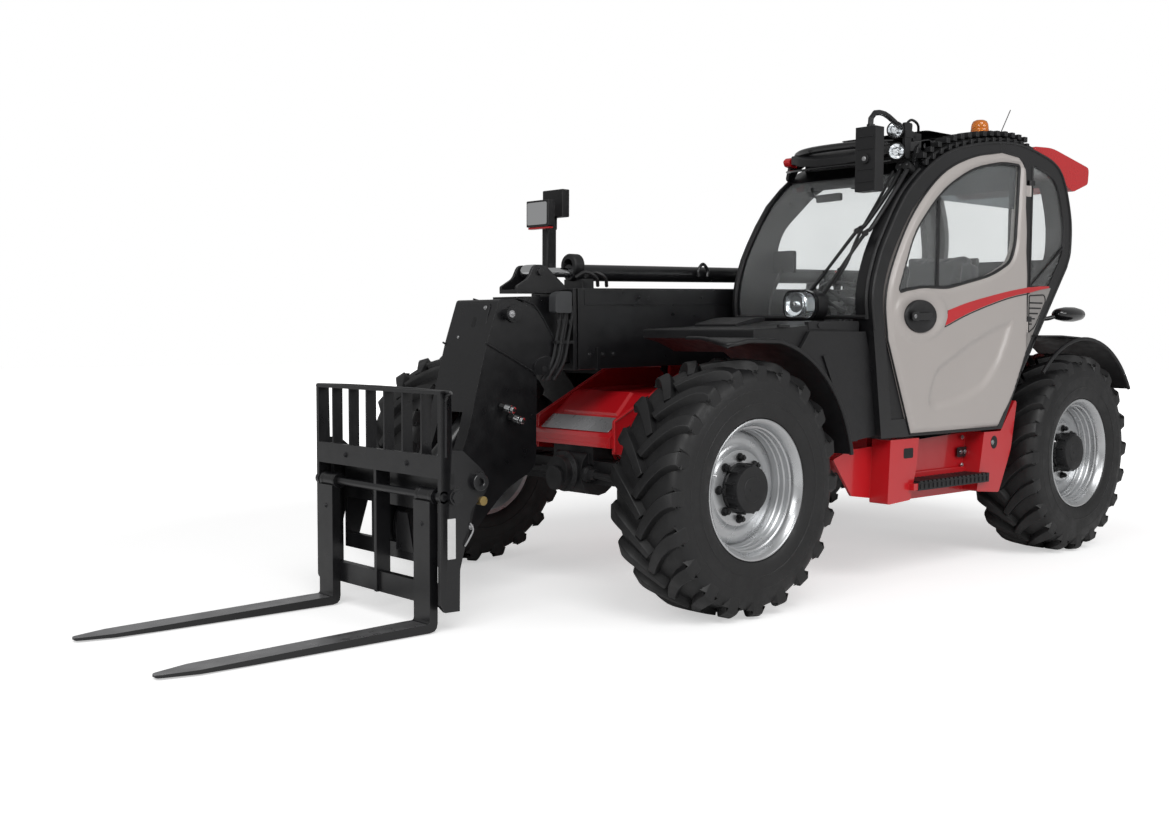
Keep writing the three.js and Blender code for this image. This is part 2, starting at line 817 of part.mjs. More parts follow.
// Shape points in counter-clockwise order with doubled points left out.
function withoutRepeats(points) {
  const kept = points.filter((p, i) => i === 0 || p.distanceTo(points[i - 1]) > 0.5);
  if (kept[0].distanceTo(kept[kept.length - 1]) < 0.5) kept.pop();
  return THREE.ShapeUtils.isClockWise(kept) ? kept.reverse() : kept;
}

function glassBand(depth) {
  const outline = cabOutline();
  const outer = plate(new THREE.Shape(inset(outline, depth)), CAB_INNER_Y + 10, CAB_OUTER_Y - 10);
  const inner = plate(new THREE.Shape(inset(outline, depth + GLASS)), CAB_INNER_Y, CAB_OUTER_Y);
  return cut(outer, inner);
}

function addCabGlass(group) {
  const band = glassBand(4);
  addPart(group, "windscreen", band.intersect(windscreenSpace(FIT)), glass);
  addPart(group, "rear_window", band.intersect(rearWindowSpace(FIT)), glass);
  const side = box(-2900, -1000, CAB_INNER_Y + 4, CAB_INNER_Y + 4 + GLASS, 1300, 2400);
  addPart(group, "right_window", side.intersect(rightWindowSpace(FIT)), glass);
  const ring = plate(new THREE.Shape(inset(cabOutline(), CAB_RING + FIT)), 1060, 1118);
  const behindDoor = DOOR_HINGE_X - 40 - FIT;
  const quarterGlass = box(-2900, behindDoor, 1108, 1114, QUARTER_SPLIT_Z + FIT, 2400);
  addPart(group, "quarter_window", ring.intersect(quarterGlass), glass);
}

function cabRoof() {
  const outline = cabOutline();
  const outer = plate(new THREE.Shape(inset(outline, -ROOF_THICKNESS)), CAB_INNER_Y + 50, CAB_OUTER_Y - 90);
  const inner = plate(new THREE.Shape(inset(outline, -FIT)), CAB_INNER_Y, CAB_OUTER_Y);
  return cut(outer, inner).intersect(box(-2560, -1440, 0, 1200, 2150, 2500));
}

function frontVisorOutline() {
  const corners = [
    [-1470, 2232],
    [-1470, 2300, 20],
    [-1250, 2262, 40],
    [-1120, 2180, 14],
    [-1150, 2165, 10],
    [-1270, 2225, 40],
  ];
  return withoutRepeats(roundedShape(corners).getPoints(3));
}

// The shade over the windscreen is bowed forwards in plan, like the screen below it.
function frontVisor() {
  const y0 = CAB_INNER_Y + 10;
  const y1 = CAB_OUTER_Y - 60;
  const shade = plate(new THREE.Shape(frontVisorOutline()), y0, y1);
  const plan = slab(
    new THREE.Shape(
      vectors([
        [-1500, y0 - 1],
        [-1378, y0 - 1],
        [-1272, y0 + 80],
        [-1205, y0 + 190],
        [-1174, y0 + 330],
        [-1174, y1 - 330],
        [-1205, y1 - 190],
        [-1272, y1 - 80],
        [-1378, y1 + 1],
        [-1500, y1 + 1],
      ]),
    ),
    2000,
    2500,
  );
  const under = plate(new THREE.Shape(inset(cabOutline(), -FIT)), 0, 1300);
  return cut(shade.intersect(plan), under);
}

function rearVisor() {
  const outline = [
    [-2560, 2330],
    [-2560, 2370, 20],
    [-2760, 2380, 60],
    [-3200, 2300, 30],
    [-3190, 2200, 20],
    [-3010, 2140, 30],
    [-2870, 2200, 60],
    [-2740, 2300, 60],
  ];
  const shade = plate(roundedShape(outline), CAB_INNER_Y + 60, CAB_OUTER_Y - 90);
  const under = plate(new THREE.Shape(inset(cabOutline(), -FIT)), 0, 1300);
  return cut(shade, under);
}

// Shelf between the cab or hood and the front fender that it rests on.
function cowl() {
  const outline = [
    [-880, 1190],
    [-880, 1352, 12],
    [-640, 1352, 40],
    [-420, 1322, 60],
    [-90, 1308, 10],
    [-90, 1200],
  ];
  const block = plate(roundedShape(outline), NOSE_HALF_WIDTH + 45, 1062);
  const underside = FENDER_INNER_RADIUS + FENDER_THICKNESS + FIT;
  const sector = [...fenderArc(underside, FENDER_REAR_DEGREES), new THREE.Vector2(60, ROLL_RADIUS)];
  const arch = plate(new THREE.Shape(sector), 300, 1200);
  const behind = plate(new THREE.Shape(inset(cabOutline(), -FIT)), 0, 1300);
  return cut(block, arch, behind);
}

function seat() {
  const cushion = box(-2170, -1680, 420, 900, 1215, 1330);
  const back = plate(
    roundedShape([
      [-2060, 1329, 20],
      [-2180, 1840, 30],
      [-2290, 1830, 30],
      [-2190, 1329, 20],
    ]),
    440,
    880,
  );
  const base = box(-2040, -1740, 470, 850, FLOOR_TOP + FIT, 1216);
  return join(cushion, back, base);
}

function dashboard() {
  const outline = [
    [-1046, FLOOR_TOP + FIT],
    [-1010, 1330, 30],
    [-1160, 1350, 40],
    [-1240, 1200, 60],
    [-1200, FLOOR_TOP + FIT],
  ];
  return plate(roundedShape(outline), 520, 800);
}

const STEERING = { x: -1370, y: 660, z: 1470, lean: 28, radius: 185, shaft: 150 };
function steeringTilt(solid) {
  return solid.rotate([0, -STEERING.lean, 0]).translate([STEERING.x, STEERING.y, STEERING.z]);
}

function steeringWheel() {
  const ring = new THREE.TorusGeometry(STEERING.radius, 15, 5, 16);
  const reach = STEERING.radius;
  const wheel = join(
    toSolid(ring),
    box(-reach, reach, -14, 14, -10, 10),
    box(-14, 14, -reach, 14, -10, 10),
    pinZ(0, 0, 42, -24, 14),
    pinZ(0, 0, 20, -STEERING.shaft, -20),
  );
  return steeringTilt(wheel);
}

function steeringColumn() {
  return steeringTilt(pinZ(0, 0, 26, -STEERING.shaft - 180, -STEERING.shaft - FIT));
}

function beacon() {
  const roof = plate(new THREE.Shape(inset(cabOutline(), -ROOF_THICKNESS - FIT)), 0, 1300);
  const base = pinZ(-2250, 860, 52, 2300, 2440);
  const lens = pinZ(-2250, 860, 58, 2439, 2510);
  return join(cut(base, roof), lens);
}

function addCab(group) {
  addPart(group, "cab_frame", cabFrame(), black);
  addPart(group, "cab_roof", join(cabRoof(), frontVisor()), blackPlastic);
  addPart(group, "rear_visor", rearVisor(), red);
  addPart(group, "cowl_left", cowl(), blackPlastic);
  addPart(group, "cowl_right", mirrored(cowl()), blackPlastic);
  addPart(group, "seat", seat(), fabric);
  addPart(group, "dashboard", join(dashboard(), steeringColumn()), blackPlastic);
  addPart(group, "steering_wheel", steeringWheel(), blackPlastic);
  addCabGlass(group);
  addPart(group, "beacon", beacon(), amber);
}

const HINGE_HEIGHTS = [1300, 2060];
const HINGE_Y = CAB_OUTER_Y + 9;
const HINGE_HEIGHT = 60;
function doorHinge(z) {
  const top = z + HINGE_HEIGHT;
  const leaf = box(DOOR_HINGE_X, DOOR_HINGE_X + 90, CAB_OUTER_Y + FIT, HINGE_Y, z, top);
  const root = box(DOOR_HINGE_X + 60, DOOR_HINGE_X + 90, CAB_OUTER_Y - 1, HINGE_Y, z, top);
  return join(leaf, root, pinZ(DOOR_HINGE_X, HINGE_Y, 8.5, z, z + HINGE_HEIGHT));
}

// The half of each hinge that stays on the cab's pillar, above the door's half.
function pillarHinge(z) {
  const z0 = z + HINGE_HEIGHT + FIT;
  const z1 = z0 + HINGE_HEIGHT / 2;
  const foot = box(DOOR_HINGE_X - 40, DOOR_HINGE_X - 21, CAB_OUTER_Y - 10, HINGE_Y + 8, z0, z1);
  const arm = box(DOOR_HINGE_X - 40, DOOR_HINGE_X, HINGE_Y - 8, HINGE_Y + 8, z0, z1);
  return join(foot, arm, pinZ(DOOR_HINGE_X, HINGE_Y, 8.5, z0, z1));
}

function addDoor(group) {
  const inside = CAB_OUTER_Y - DOOR_THICKNESS;
  const slabSolid = plate(new THREE.Shape(doorOutline()), inside, CAB_OUTER_Y);
  const windowPoints = withoutRepeats(roundedShape(windowOutline()).getPoints(4));
  const hole = plate(new THREE.Shape(windowPoints), inside - 1, CAB_OUTER_Y + 1);
  const pane = plate(
    new THREE.Shape(inset(windowPoints, FIT)),
    CAB_OUTER_Y - 12,
    CAB_OUTER_Y - 12 + GLASS,
  );
  const hinges = HINGE_HEIGHTS.map((z) => doorHinge(z));
  addPart(group, "cab_door", join(cut(slabSolid, hole), ...hinges), doorGrey);
  addPart(group, "door_window", pane, glass);
}

// ---- Engine side ---------------------------------------------------------
const HOOD = { front: -900, rear: -2215, top: 1300, bottom: 640, inner: -330, outer: -1120, wall: 30 };
const HOOD_HINGE_RADIUS = 12;
const HOOD_HINGE_Y = HOOD.inner + HOOD_HINGE_RADIUS + RUNNING_GAP;
const HOOD_HINGE_Z = HOOD.top - 18;
function hood() {
  const outline = [
    [HOOD.front, HOOD.bottom],
    [HOOD.front, HOOD.top - 60, 60],
    [HOOD.front - 120, HOOD.top, 60],
    [HOOD.rear + 200, HOOD.top, 80],
    [HOOD.rear, HOOD.top - 120, 60],
    [HOOD.rear, HOOD.bottom],
  ];
  const outer = plate(roundedShape(outline), HOOD.outer, HOOD.inner);
  const inner = box(
    HOOD.rear + HOOD.wall,
    HOOD.front - HOOD.wall,
    HOOD.outer + HOOD.wall,
    HOOD.inner + 1,
    HOOD.bottom - 1,
    HOOD.top - HOOD.wall,
  );
  return cut(outer, inner);
}

function engineTray() {
  const trayTop = HOOD.bottom - 12;
  const tray = box(HOOD.rear, HOOD.front, HOOD.outer, 1 - RAIL_OUTER_Y, BEARER_TOP - 1, trayTop);
  const wallTop = HOOD_HINGE_Z - HOOD_HINGE_RADIUS / 2;
  const rear = HOOD.rear + 40;
  const front = HOOD.front - 40;
  const wall = box(rear, front, HOOD.inner + 8, HOOD.inner + 28, trayTop - 1, wallTop);
  const hinge = rodBetween(
    [rear, HOOD_HINGE_Y, HOOD_HINGE_Z],
    [front, HOOD_HINGE_Y, HOOD_HINGE_Z],
    HOOD_HINGE_RADIUS,
  );
  return join(tray, wall, hinge);
}

function addEngine(group) {
  const top = HOOD.bottom - 12 + FIT;
  addPart(group, "engine", box(-1960, -1160, -920, -420, top, 1180), castIron);
  const pipe = pinZ(-2360, -420, 48, 700, 1580, 14);
  const foot = box(-2420, -2300, -470, -RAIL_OUTER_Y - FIT, 690, 740);
  addPart(group, "exhaust_stack", join(pipe, foot), black);
}

function mirrorRight() {
  const post = box(-560, -500, -930, -870, 1360, 1900);
  const foot = box(-660, -470, -960, -840, 1352 + FIT, 1372);
  const low = box(-480, -430, -990, -790, 1900, 2052);
  const high = box(-600, -545, -980, -800, 1960, 2120);
  const arm = box(-580, -460, -915, -885, 1890, 1960);
  return join(post, foot, low, high, arm);
}

function mirrorLeft() {
  const housing = box(-990, -920, 990, 1110, 1992, 2308);
  const arm = bentRod(
    [
      [-950, 1055, 2300],
      [-962, 1055, 2365],
      [-1083, 1035, 2392],
      [-1389, 985, 2308],
    ],
    14,
    10,
    8,
  );
  const visor = plate(new THREE.Shape(inset(frontVisorOutline(), -FIT)), 0, 1300);
  const foot = cut(box(-1425, -1355, 940, 1030, 2256, 2325), visor);
  return join(housing, arm, foot);
}

// ---- Boom ----------------------------------------------------------------
// Everything below is placed in the boom's own frame: the pivot is its origin,
// +X runs along the boom, and the frame leans by BOOM_SLOPE at rest.
function boomLocal([x, z]) {
  const dx = x - BOOM_PIVOT_X;
  const dz = z - BOOM_PIVOT_Z;
  const cos = Math.cos(BOOM_SLOPE);
  const sin = Math.sin(BOOM_SLOPE);
  return [dx * cos - dz * sin, dx * sin + dz * cos];
}

function stage(level) {
  const shrink = level * (BOOM_WALL + STAGE_GAP);
  return {
    half: BOOM_WIDTH / 2 - shrink,
    top: BOOM_TOP - shrink,
    bottom: BOOM_BOTTOM + shrink,
  };
}

function tube(level, rear, front) {
  const size = stage(level);
  const outer = box(rear, front, -size.half, size.half, size.bottom, size.top);
  const inner = box(
    rear - 1,
    front + 1,
    -size.half + BOOM_WALL,
    size.half - BOOM_WALL,
    size.bottom + BOOM_WALL,
    size.top - BOOM_WALL,
  );
  return cut(outer, inner);
}

// Slide pads on the inside of a section's front end.
function frontPads(level, front) {
  const size = stage(level);
  const inner = stage(level + 1);
  const x0 = front - PAD_LENGTH;
  const sidePad = box(x0, front, inner.half + RUNNING_GAP, size.half - BOOM_WALL + 1, -120, 80);
  const topPad = box(x0, front, -90, 90, inner.top + RUNNING_GAP, size.top - BOOM_WALL + 1);
  const lowPad = box(x0, front, -90, 90, size.bottom + BOOM_WALL - 1, inner.bottom - RUNNING_GAP);
  return [sidePad, mirrored(sidePad), topPad, lowPad];
}

// Slide pads on the outside of an inner section's rear end.
function rearPads(level, rear) {
  const size = stage(level);
  const outer = stage(level - 1);
  const x1 = rear + PAD_LENGTH;
  const outerHalf = outer.half - BOOM_WALL - RUNNING_GAP;
  const sidePad = box(rear, x1, size.half - 1, outerHalf, -120, 80);
  const topPad = box(rear, x1, -90, 90, size.top - 1, outer.top - BOOM_WALL - RUNNING_GAP);
  const lowPad = box(rear, x1, -90, 90, outer.bottom + BOOM_WALL + RUNNING_GAP, size.bottom + 1);
  return [sidePad, mirrored(sidePad), topPad, lowPad];
}

const TELESCOPE_Z = 257;
const TELESCOPE_RADIUS = 42;
const TELESCOPE_ROD_RADIUS = 24;
const TELESCOPE_FRONT = 3150;
const TELESCOPE_REAR = 700;
const TELESCOPE_PIN_X = 3395;
const LIFT_LUG_GAP = 62;

function boomLiftLugs() {
  const [x, z] = boomLocal(LIFT_EYE);
  const outline = [
    [x - 190, BOOM_BOTTOM + 1],
    [x - 70, z - 62, 50],
    [x + 70, z - 62, 50],
    [x + 190, BOOM_BOTTOM + 1],
  ];
  const lug = plate(roundedShape(outline), LIFT_LUG_GAP, LIFT_LUG_GAP + 22);
  return [lug, mirrored(lug)];
}

function boomSolid() {
  const rearTaper = plate(
    roundedShape([
      [BOOM_REAR, -110, 60],
      [BOOM_REAR + 40, -140, 60],
      [330, BOOM_BOTTOM, 60],
      [330, BOOM_BOTTOM - 100],
      [BOOM_REAR - 100, BOOM_BOTTOM - 100],
      [BOOM_REAR - 100, -110],
    ]),
    -400,
    400,
  );
  const main = tube(0, BOOM_REAR + 40, BOOM_FRONT);
  const rearCap = box(BOOM_REAR + 40, BOOM_REAR + 200, -BOOM_WIDTH / 2, BOOM_WIDTH / 2, -200, BOOM_TOP);
  const pinReach = RAIL_OUTER_Y + 12;
  const pin = pinY(0, 0, PIVOT_PIN_RADIUS, -pinReach, pinReach);
  const saddle = (x0, x1) =>
    box(x0, x1, -70, 70, BOOM_TOP - 1, TELESCOPE_Z - TELESCOPE_RADIUS + 10);
  const channel = pinAlong(TELESCOPE_Z, TELESCOPE_RADIUS + FIT, 600, 3400);
  const saddles = cut(join(saddle(3040, 3120), saddle(TELESCOPE_REAR + 40, TELESCOPE_REAR + 120)), channel);
  const body = cut(join(main, rearCap), rearTaper);
  return join(body, pin, ...boomLiftLugs(), ...frontPads(0, BOOM_FRONT), saddles);
}

// Cylinder along the boom's X axis at a height above the pivot.
function pinAlong(z, radius, x0, x1, sides = 12) {
  return rodBetween([x0, 0, z], [x1, 0, z], radius, sides);
}

const STAGE_ONE_REAR = 320;
const STAGE_ONE_FRONT = 3262;
const STAGE_TWO_REAR = 360;
const STAGE_TWO_FRONT = 3540;

function stageOne() {
  const size = stage(1);
  const outer = stage(0);
  const collar = cut(
    box(BOOM_FRONT + 9, STAGE_ONE_FRONT, -outer.half, outer.half, outer.bottom, outer.top - 6),
    box(3200, 3300, -size.half + BOOM_WALL, size.half - BOOM_WALL, size.bottom + BOOM_WALL, size.top - BOOM_WALL),
  );
  const bracketShape = roundedShape([
    [STAGE_ONE_FRONT - 30, outer.top - 8],
    [3540, outer.top - 8],
    [3540, 186, 8],
    [3465, 226, 20],
    [3430, TELESCOPE_Z + 34, 24],
    [3360, TELESCOPE_Z + 34, 24],
    [STAGE_ONE_FRONT - 30, 190, 20],
  ]);
  const cheek = plate(bracketShape, 52, 68);
  const bridge = box(STAGE_ONE_FRONT - 30, 3540, -68, 68, outer.top - 24, outer.top - 6);
  const pin = pinY(TELESCOPE_PIN_X, TELESCOPE_Z, 18, -82, 82, 12);
  const tubeSolid = tube(1, STAGE_ONE_REAR, STAGE_ONE_FRONT);
  return join(
    tubeSolid,
    collar,
    cheek,
    mirrored(cheek),
    bridge,
    pin,
    ...frontPads(1, STAGE_ONE_FRONT),
    ...rearPads(1, STAGE_ONE_REAR),
  );
}

function headSideShape() {
  const pivot = boomLocal([TILT_PIVOT_X, TILT_PIVOT_Z]);
  return roundedShape([
    [3626, 122, 10],
    [3726, 122, 14],
    [3801, -80, 40],
    [3877, -341, 60],
    [3927, -523, 80],
    [pivot[0] + 72, pivot[1] + 60, 70],
    [pivot[0] + 62, pivot[1] - 72, 70],
    [pivot[0] - 72, pivot[1] - 72, 70],
    [3700, -770, 80],
    [3517, -690, 60],
    [3503, -245, 30],
    [3521, -226, 20],
    [3348, -100, 20],
    [3499, 70, 20],
  ]);
}

function headSolid() {
  const innerY = HEAD_HALF_WIDTH - HEAD_PLATE;
  const outline = headSideShape();
  const whole = plate(outline, -HEAD_HALF_WIDTH, HEAD_HALF_WIDTH);
  const size = stage(2);
  const pivot = boomLocal([TILT_PIVOT_X, TILT_PIVOT_Z]);
  const cavity = plate(
    roundedShape([
      [3300, -232],
      [3300, -70],
      [3560, 40],
      [3650, 100, 20],
      [3708, 100, 20],
      [3780, -86, 40],
      [3856, -345, 60],
      [3906, -530, 80],
      [pivot[0] + 30, pivot[1] + 110],
      [pivot[0] + 150, pivot[1] + 40],
      [pivot[0] + 100, pivot[1] - 200],
      [3400, pivot[1] - 200],
      [3400, -232],
    ]),
    -innerY,
    innerY,
  );
  const pin = pinY(pivot[0], pivot[1], TILT_PIN_RADIUS, innerY - 1, TILT_PIN_REACH);
  const cylinderPin = pinY(...boomLocal(TILT_BASE), 24, -innerY - 1, innerY + 1, 12);
  const passage = box(3200, 3420, -160.5, 160.5, size.bottom - 30, size.top + 30);
  const inner = tube(2, STAGE_TWO_REAR, STAGE_TWO_FRONT);
  const seatBlock = box(3330, STAGE_TWO_FRONT, -innerY - 1, innerY + 1, size.bottom - 16, size.bottom + 1);
  const window = box(3700, 4400, -90, 90, -890, -400);
  const head = cut(whole, cavity, passage, window);
  return join(head, pin, mirrored(pin), cylinderPin, inner, seatBlock, ...rearPads(2, STAGE_TWO_REAR));
}

function addBoom(group) {
  const boomGroup = new THREE.Group();
  boomGroup.position.set(BOOM_PIVOT_X, 0, BOOM_PIVOT_Z);
  boomGroup.rotation.y = BOOM_SLOPE;
  addPart(boomGroup, "boom", boomSolid(), black);
  addPart(boomGroup, "boom_section_middle", stageOne(), black);
  addPart(boomGroup, "boom_head", headSolid(), black);
  const barrel = cut(
    pinAlong(TELESCOPE_Z, TELESCOPE_RADIUS, TELESCOPE_REAR, TELESCOPE_FRONT),
    pinAlong(TELESCOPE_Z, TELESCOPE_ROD_RADIUS + RUNNING_GAP, TELESCOPE_REAR + 60, 3300),
  );
  addPart(boomGroup, "telescope_cylinder_barrel", barrel, black);
  const rod = join(
    pinAlong(TELESCOPE_Z, TELESCOPE_ROD_RADIUS, TELESCOPE_REAR + 80, TELESCOPE_PIN_X - 20),
    pinY(TELESCOPE_PIN_X, TELESCOPE_Z, 36, -40, 40, 14),
  );
  const eyeHole = pinY(TELESCOPE_PIN_X, TELESCOPE_Z, 18 + RUNNING_GAP, -60, 60, 12);
  addPart(boomGroup, "telescope_cylinder_rod", cut(rod, eyeHole), chrome);
  group.add(boomGroup);
}

// ---- Cylinders that lift and tilt ---------------------------------------
function alongLine(from, to) {
  const dx = to[0] - from[0];
  const dz = to[1] - from[1];
  const length = Math.hypot(dx, dz);
  return (distance) => [from[0] + (dx * distance) / length, from[1] + (dz * distance) / length];
}

function cylinderPair(base, eye, size) {
  const at = alongLine(base, eye);
  const reach = Math.hypot(eye[0] - base[0], eye[1] - base[1]);
  const point = (distance) => [at(distance)[0], 0, at(distance)[1]];
  const tubeEnd = reach - size.showing;
  const tubeOuter = rodBetween(point(size.eyeRadius * 0.7), point(tubeEnd), size.radius);
  const baseEye = pinY(base[0], base[1], size.eyeRadius, -size.eyeHalf, size.eyeHalf);
  const bore = rodBetween(point(size.bottom), point(tubeEnd + 10), size.rod + RUNNING_GAP);
  const baseHole = boreY(base[0], base[1], size.pin, -300, 300);
  const rodBody = rodBetween(point(size.bottom + size.slack), point(reach - size.eyeRadius * 0.7), size.rod);
  const rodEye = pinY(eye[0], eye[1], size.eyeRadius, -size.eyeHalf, size.eyeHalf);
  return {
    barrel: cut(join(tubeOuter, baseEye), bore, baseHole),
    rod: join(rodBody, rodEye),
  };
}

const LIFT_SIZE = { radius: 58, rod: 36, eyeRadius: 54, eyeHalf: 46, pin: 30, bottom: 70, slack: 12, showing: 100 };
const TILT_SIZE = { radius: 52, rod: 32, eyeRadius: 46, eyeHalf: 40, pin: 24, bottom: 56, slack: 50, showing: 130 };

function addCylinders(group) {
  const lift = cylinderPair(LIFT_BASE, LIFT_EYE, LIFT_SIZE);
  const tilt = cylinderPair(TILT_BASE, TILT_EYE, TILT_SIZE);
  addPart(group, "lift_cylinder_barrel", lift.barrel, black);
  addPart(group, "lift_cylinder_rod", lift.rod, chrome);
  addPart(group, "tilt_cylinder_barrel", tilt.barrel, black);
  addPart(group, "tilt_cylinder_rod", tilt.rod, chrome);
}

// ---- Tool carrier and forks ---------------------------------------------
function toolCarrier() {
  const [px, pz] = [TILT_PIVOT_X, TILT_PIVOT_Z];
  const lugInner = HEAD_HALF_WIDTH + SIDE_GAP;
  const lugShape = roundedShape([
    [px - 62, pz - 62, 50],
    [px + 60, pz - 62, 30],
    [1150 - FIT, 300],
    [1150 - FIT, CARRIER_TOP],
    [1080, CARRIER_TOP, 30],
    [1000, 560, 40],
    [px - 62, pz + 70, 40],
  ]);
  const bore = boreY(px, pz, TILT_PIN_RADIUS, -300, 300);
  const lug = cut(plate(lugShape, lugInner, lugInner + 24), bore);
  const inner = roundedShape([
    [TILT_EYE[0] - 60, TILT_EYE[1] - 60, 40],
    [1150 - FIT, 500],
    [1150 - FIT, CARRIER_TOP],
    [TILT_EYE[0] - 60, TILT_EYE[1] + 60, 40],
  ]);
  const cheek = plate(inner, 60, 80);
  const backPlate = box(CARRIER_BACK_X, 1150 - FIT, -430, 430, 500, CARRIER_TOP);
  const lowBar = box(CARRIER_BACK_X, 1150 - FIT, -430, 430, 260, 330);
  const sidePlate = roundedShape([
    [1007, 560, 20],
    [1000, 640, 40],
    [1040, CARRIER_TOP, 30],
    [1150 - FIT, CARRIER_TOP],
    [1150 - FIT, 260],
    [1100, 260, 20],
  ]);
  const side = plate(sidePlate, 410, 430);
  // The cylinder's eye swings into this pocket when the carriage tilts fully back.
  const eyeHalf = TILT_SIZE.eyeHalf + SIDE_GAP;
  const pocket = box(
    CARRIER_BACK_X - 1,
    CARRIER_BACK_X + 11,
    -eyeHalf,
    eyeHalf,
    TILT_EYE[1] - 12,
    TILT_EYE[1] + 50,
  );
  const plates = join(lug, mirrored(lug), backPlate, lowBar, side, mirrored(side));
  return join(cut(plates, pocket), cheek, mirrored(cheek));
}

function forkCarriage() {
  const half = CARRIAGE_HALF_WIDTH;
  const sideShape = roundedShape([
    [CARRIAGE_FRONT_X, 1042, 10],
    [1200, 1042, 10],
    [1196, 786],
    [1141, 783],
    [1034, 694, 20],
    [1007, 650, 20],
    [1012, 600, 20],
    [1099, 524, 20],
    [1110, 439, 30],
    [1156, 270, 10],
    [1158, 92],
    [1233, 94],
    [CARRIAGE_FRONT_X, 120, 12],
  ]);
  const side = plate(sideShape, half - CARRIAGE_PLATE, half);
  const topBar = box(1202, CARRIAGE_FRONT_X, -half, half, 1026, 1042);
  const crossPlate = box(1238, CARRIAGE_FRONT_X, -half + 1, half - 1, 670, 766);
  const hookPlate = box(1112, 1239, -half + 1, half - 1, CARRIER_TOP + FIT, CARRIER_TOP + 30);
  const shankBack = FORK_FACE_X - FORK_THICKNESS - RUNNING_GAP;
  const lowPlate = box(1199, shankBack, -half + 1, half - 1, 112, 205);
  const centre = box(1176, 1250, -22, -2, 112, 671);
  const shaft = pinY(1240, FORK_SHAFT_Z, FORK_SHAFT_RADIUS, -half + 1, half - 1, 12);
  const bars = Array.from({ length: 6 }, (unused, i) => {
    const y = -half + ((i + 1) * 2 * half) / 7;
    return box(1204, CARRIAGE_FRONT_X - 2, y - 5, y + 5, 760, 1030);
  });
  const upright = box(1150, 1200, -half + 30, -half + 60, 112, 729);
  const eyes = pinY(1044, 640, 36, half, half + 10, 14);
  return join(
    side,
    mirrored(side),
    topBar,
    crossPlate,
    hookPlate,
    lowPlate,
    centre,
    shaft,
    upright,
    mirrored(upright),
    eyes,
    mirrored(eyes),
    ...bars,
  );
}

function fork() {
  const back = FORK_FACE_X - FORK_THICKNESS;
  const bottom = FORK_BOTTOM_Z;
  const tip = FORK_FACE_X + FORK_LENGTH;
  const profile = roundedShape([
    [back, FORK_SHAFT_Z - 20],
    [FORK_FACE_X, FORK_SHAFT_Z - 20],
    [FORK_FACE_X, bottom + 40, 14],
    [FORK_FACE_X + 60, bottom + 40],
    [tip, bottom + 16, 6],
    [tip, bottom + 4, 4],
    [FORK_FACE_X + FORK_LENGTH * 0.7, bottom],
    [back, bottom, 40],
  ]);
  const blade = plate(profile, -FORK_WIDTH / 2, FORK_WIDTH / 2);
  const plan = slab(
    roundedShape([
      [0, -FORK_WIDTH / 2 - 1],
      [tip - 160, -FORK_WIDTH / 2 - 1],
      [tip + 1, -22, 20],
      [tip + 1, 22, 20],
      [tip - 160, FORK_WIDTH / 2 + 1],
      [0, FORK_WIDTH / 2 + 1],
    ]),
    -10,
    900,
  );
  const ring = pinY(1240, FORK_SHAFT_Z, FORK_SHAFT_RADIUS + 16, -FORK_WIDTH / 2, FORK_WIDTH / 2, 16);
  const bore = pinY(1240, FORK_SHAFT_Z, FORK_SHAFT_RADIUS + RUNNING_GAP, -100, 100, 12);
  return cut(join(blade.intersect(plan), ring), bore);
}

function addTools(group) {
  addPart(group, "tool_carrier", toolCarrier(), black);
  addPart(group, "fork_carriage", forkCarriage(), black);
  const left = addPart(group, "fork_left", fork(), bareSteel);
  const right = addPart(group, "fork_right", fork(), bareSteel);
  left.position.y = FORK_CENTRE_Y;
  right.position.y = -FORK_CENTRE_Y;
}

// ---- Assembly ------------------------------------------------------------
const machine = new THREE.Group();
addWheels(machine);
addPart(machine, "chassis_frame", chassis(), red);
addPart(machine, "step_frame", stepFrame(), red);
addPart(machine, "counterweight", counterweight(), castIron);
addFenders(machine);
addCab(machine);
addDoor(machine);
addPart(machine, "engine_hood", hood(), blackPlastic);
addEngine(machine);
addPart(machine, "mirror_right", mirrorRight(), blackPlastic);
addPart(machine, "mirror_left", mirrorLeft(), blackPlastic);
addBoom(machine);
addCylinders(machine);
addTools(machine);

const bounds = new THREE.Box3().setFromObject(machine);
machine.position.x = -(bounds.min.x + bounds.max.x) / 2;

export default machine;
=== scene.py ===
"""Looks of the telehandler: finishes, detailed pieces, floor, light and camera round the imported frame."""

import math

import bmesh
import bpy
from mathutils import Matrix, Vector
from mathutils.geometry import delaunay_2d_cdt, tessellate_polygon


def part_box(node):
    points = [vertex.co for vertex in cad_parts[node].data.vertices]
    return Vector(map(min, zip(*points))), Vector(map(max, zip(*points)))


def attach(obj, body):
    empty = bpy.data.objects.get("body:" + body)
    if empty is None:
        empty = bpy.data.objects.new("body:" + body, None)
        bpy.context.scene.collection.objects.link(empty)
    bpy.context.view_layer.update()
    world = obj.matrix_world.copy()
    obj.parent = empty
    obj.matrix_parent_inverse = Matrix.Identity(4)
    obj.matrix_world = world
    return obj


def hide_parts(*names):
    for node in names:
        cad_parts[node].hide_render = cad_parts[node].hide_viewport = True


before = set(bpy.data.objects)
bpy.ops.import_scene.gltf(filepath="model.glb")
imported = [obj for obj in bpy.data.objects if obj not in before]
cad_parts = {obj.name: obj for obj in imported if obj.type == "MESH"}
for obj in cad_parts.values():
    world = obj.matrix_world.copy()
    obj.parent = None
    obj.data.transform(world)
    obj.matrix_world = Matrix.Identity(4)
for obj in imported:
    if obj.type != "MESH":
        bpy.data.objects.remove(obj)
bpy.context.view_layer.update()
bpy.context.scene.view_settings.view_transform = "Standard"

# Own lengths are in millimetres from the front axle's centre line on the ground.
MM = 0.001


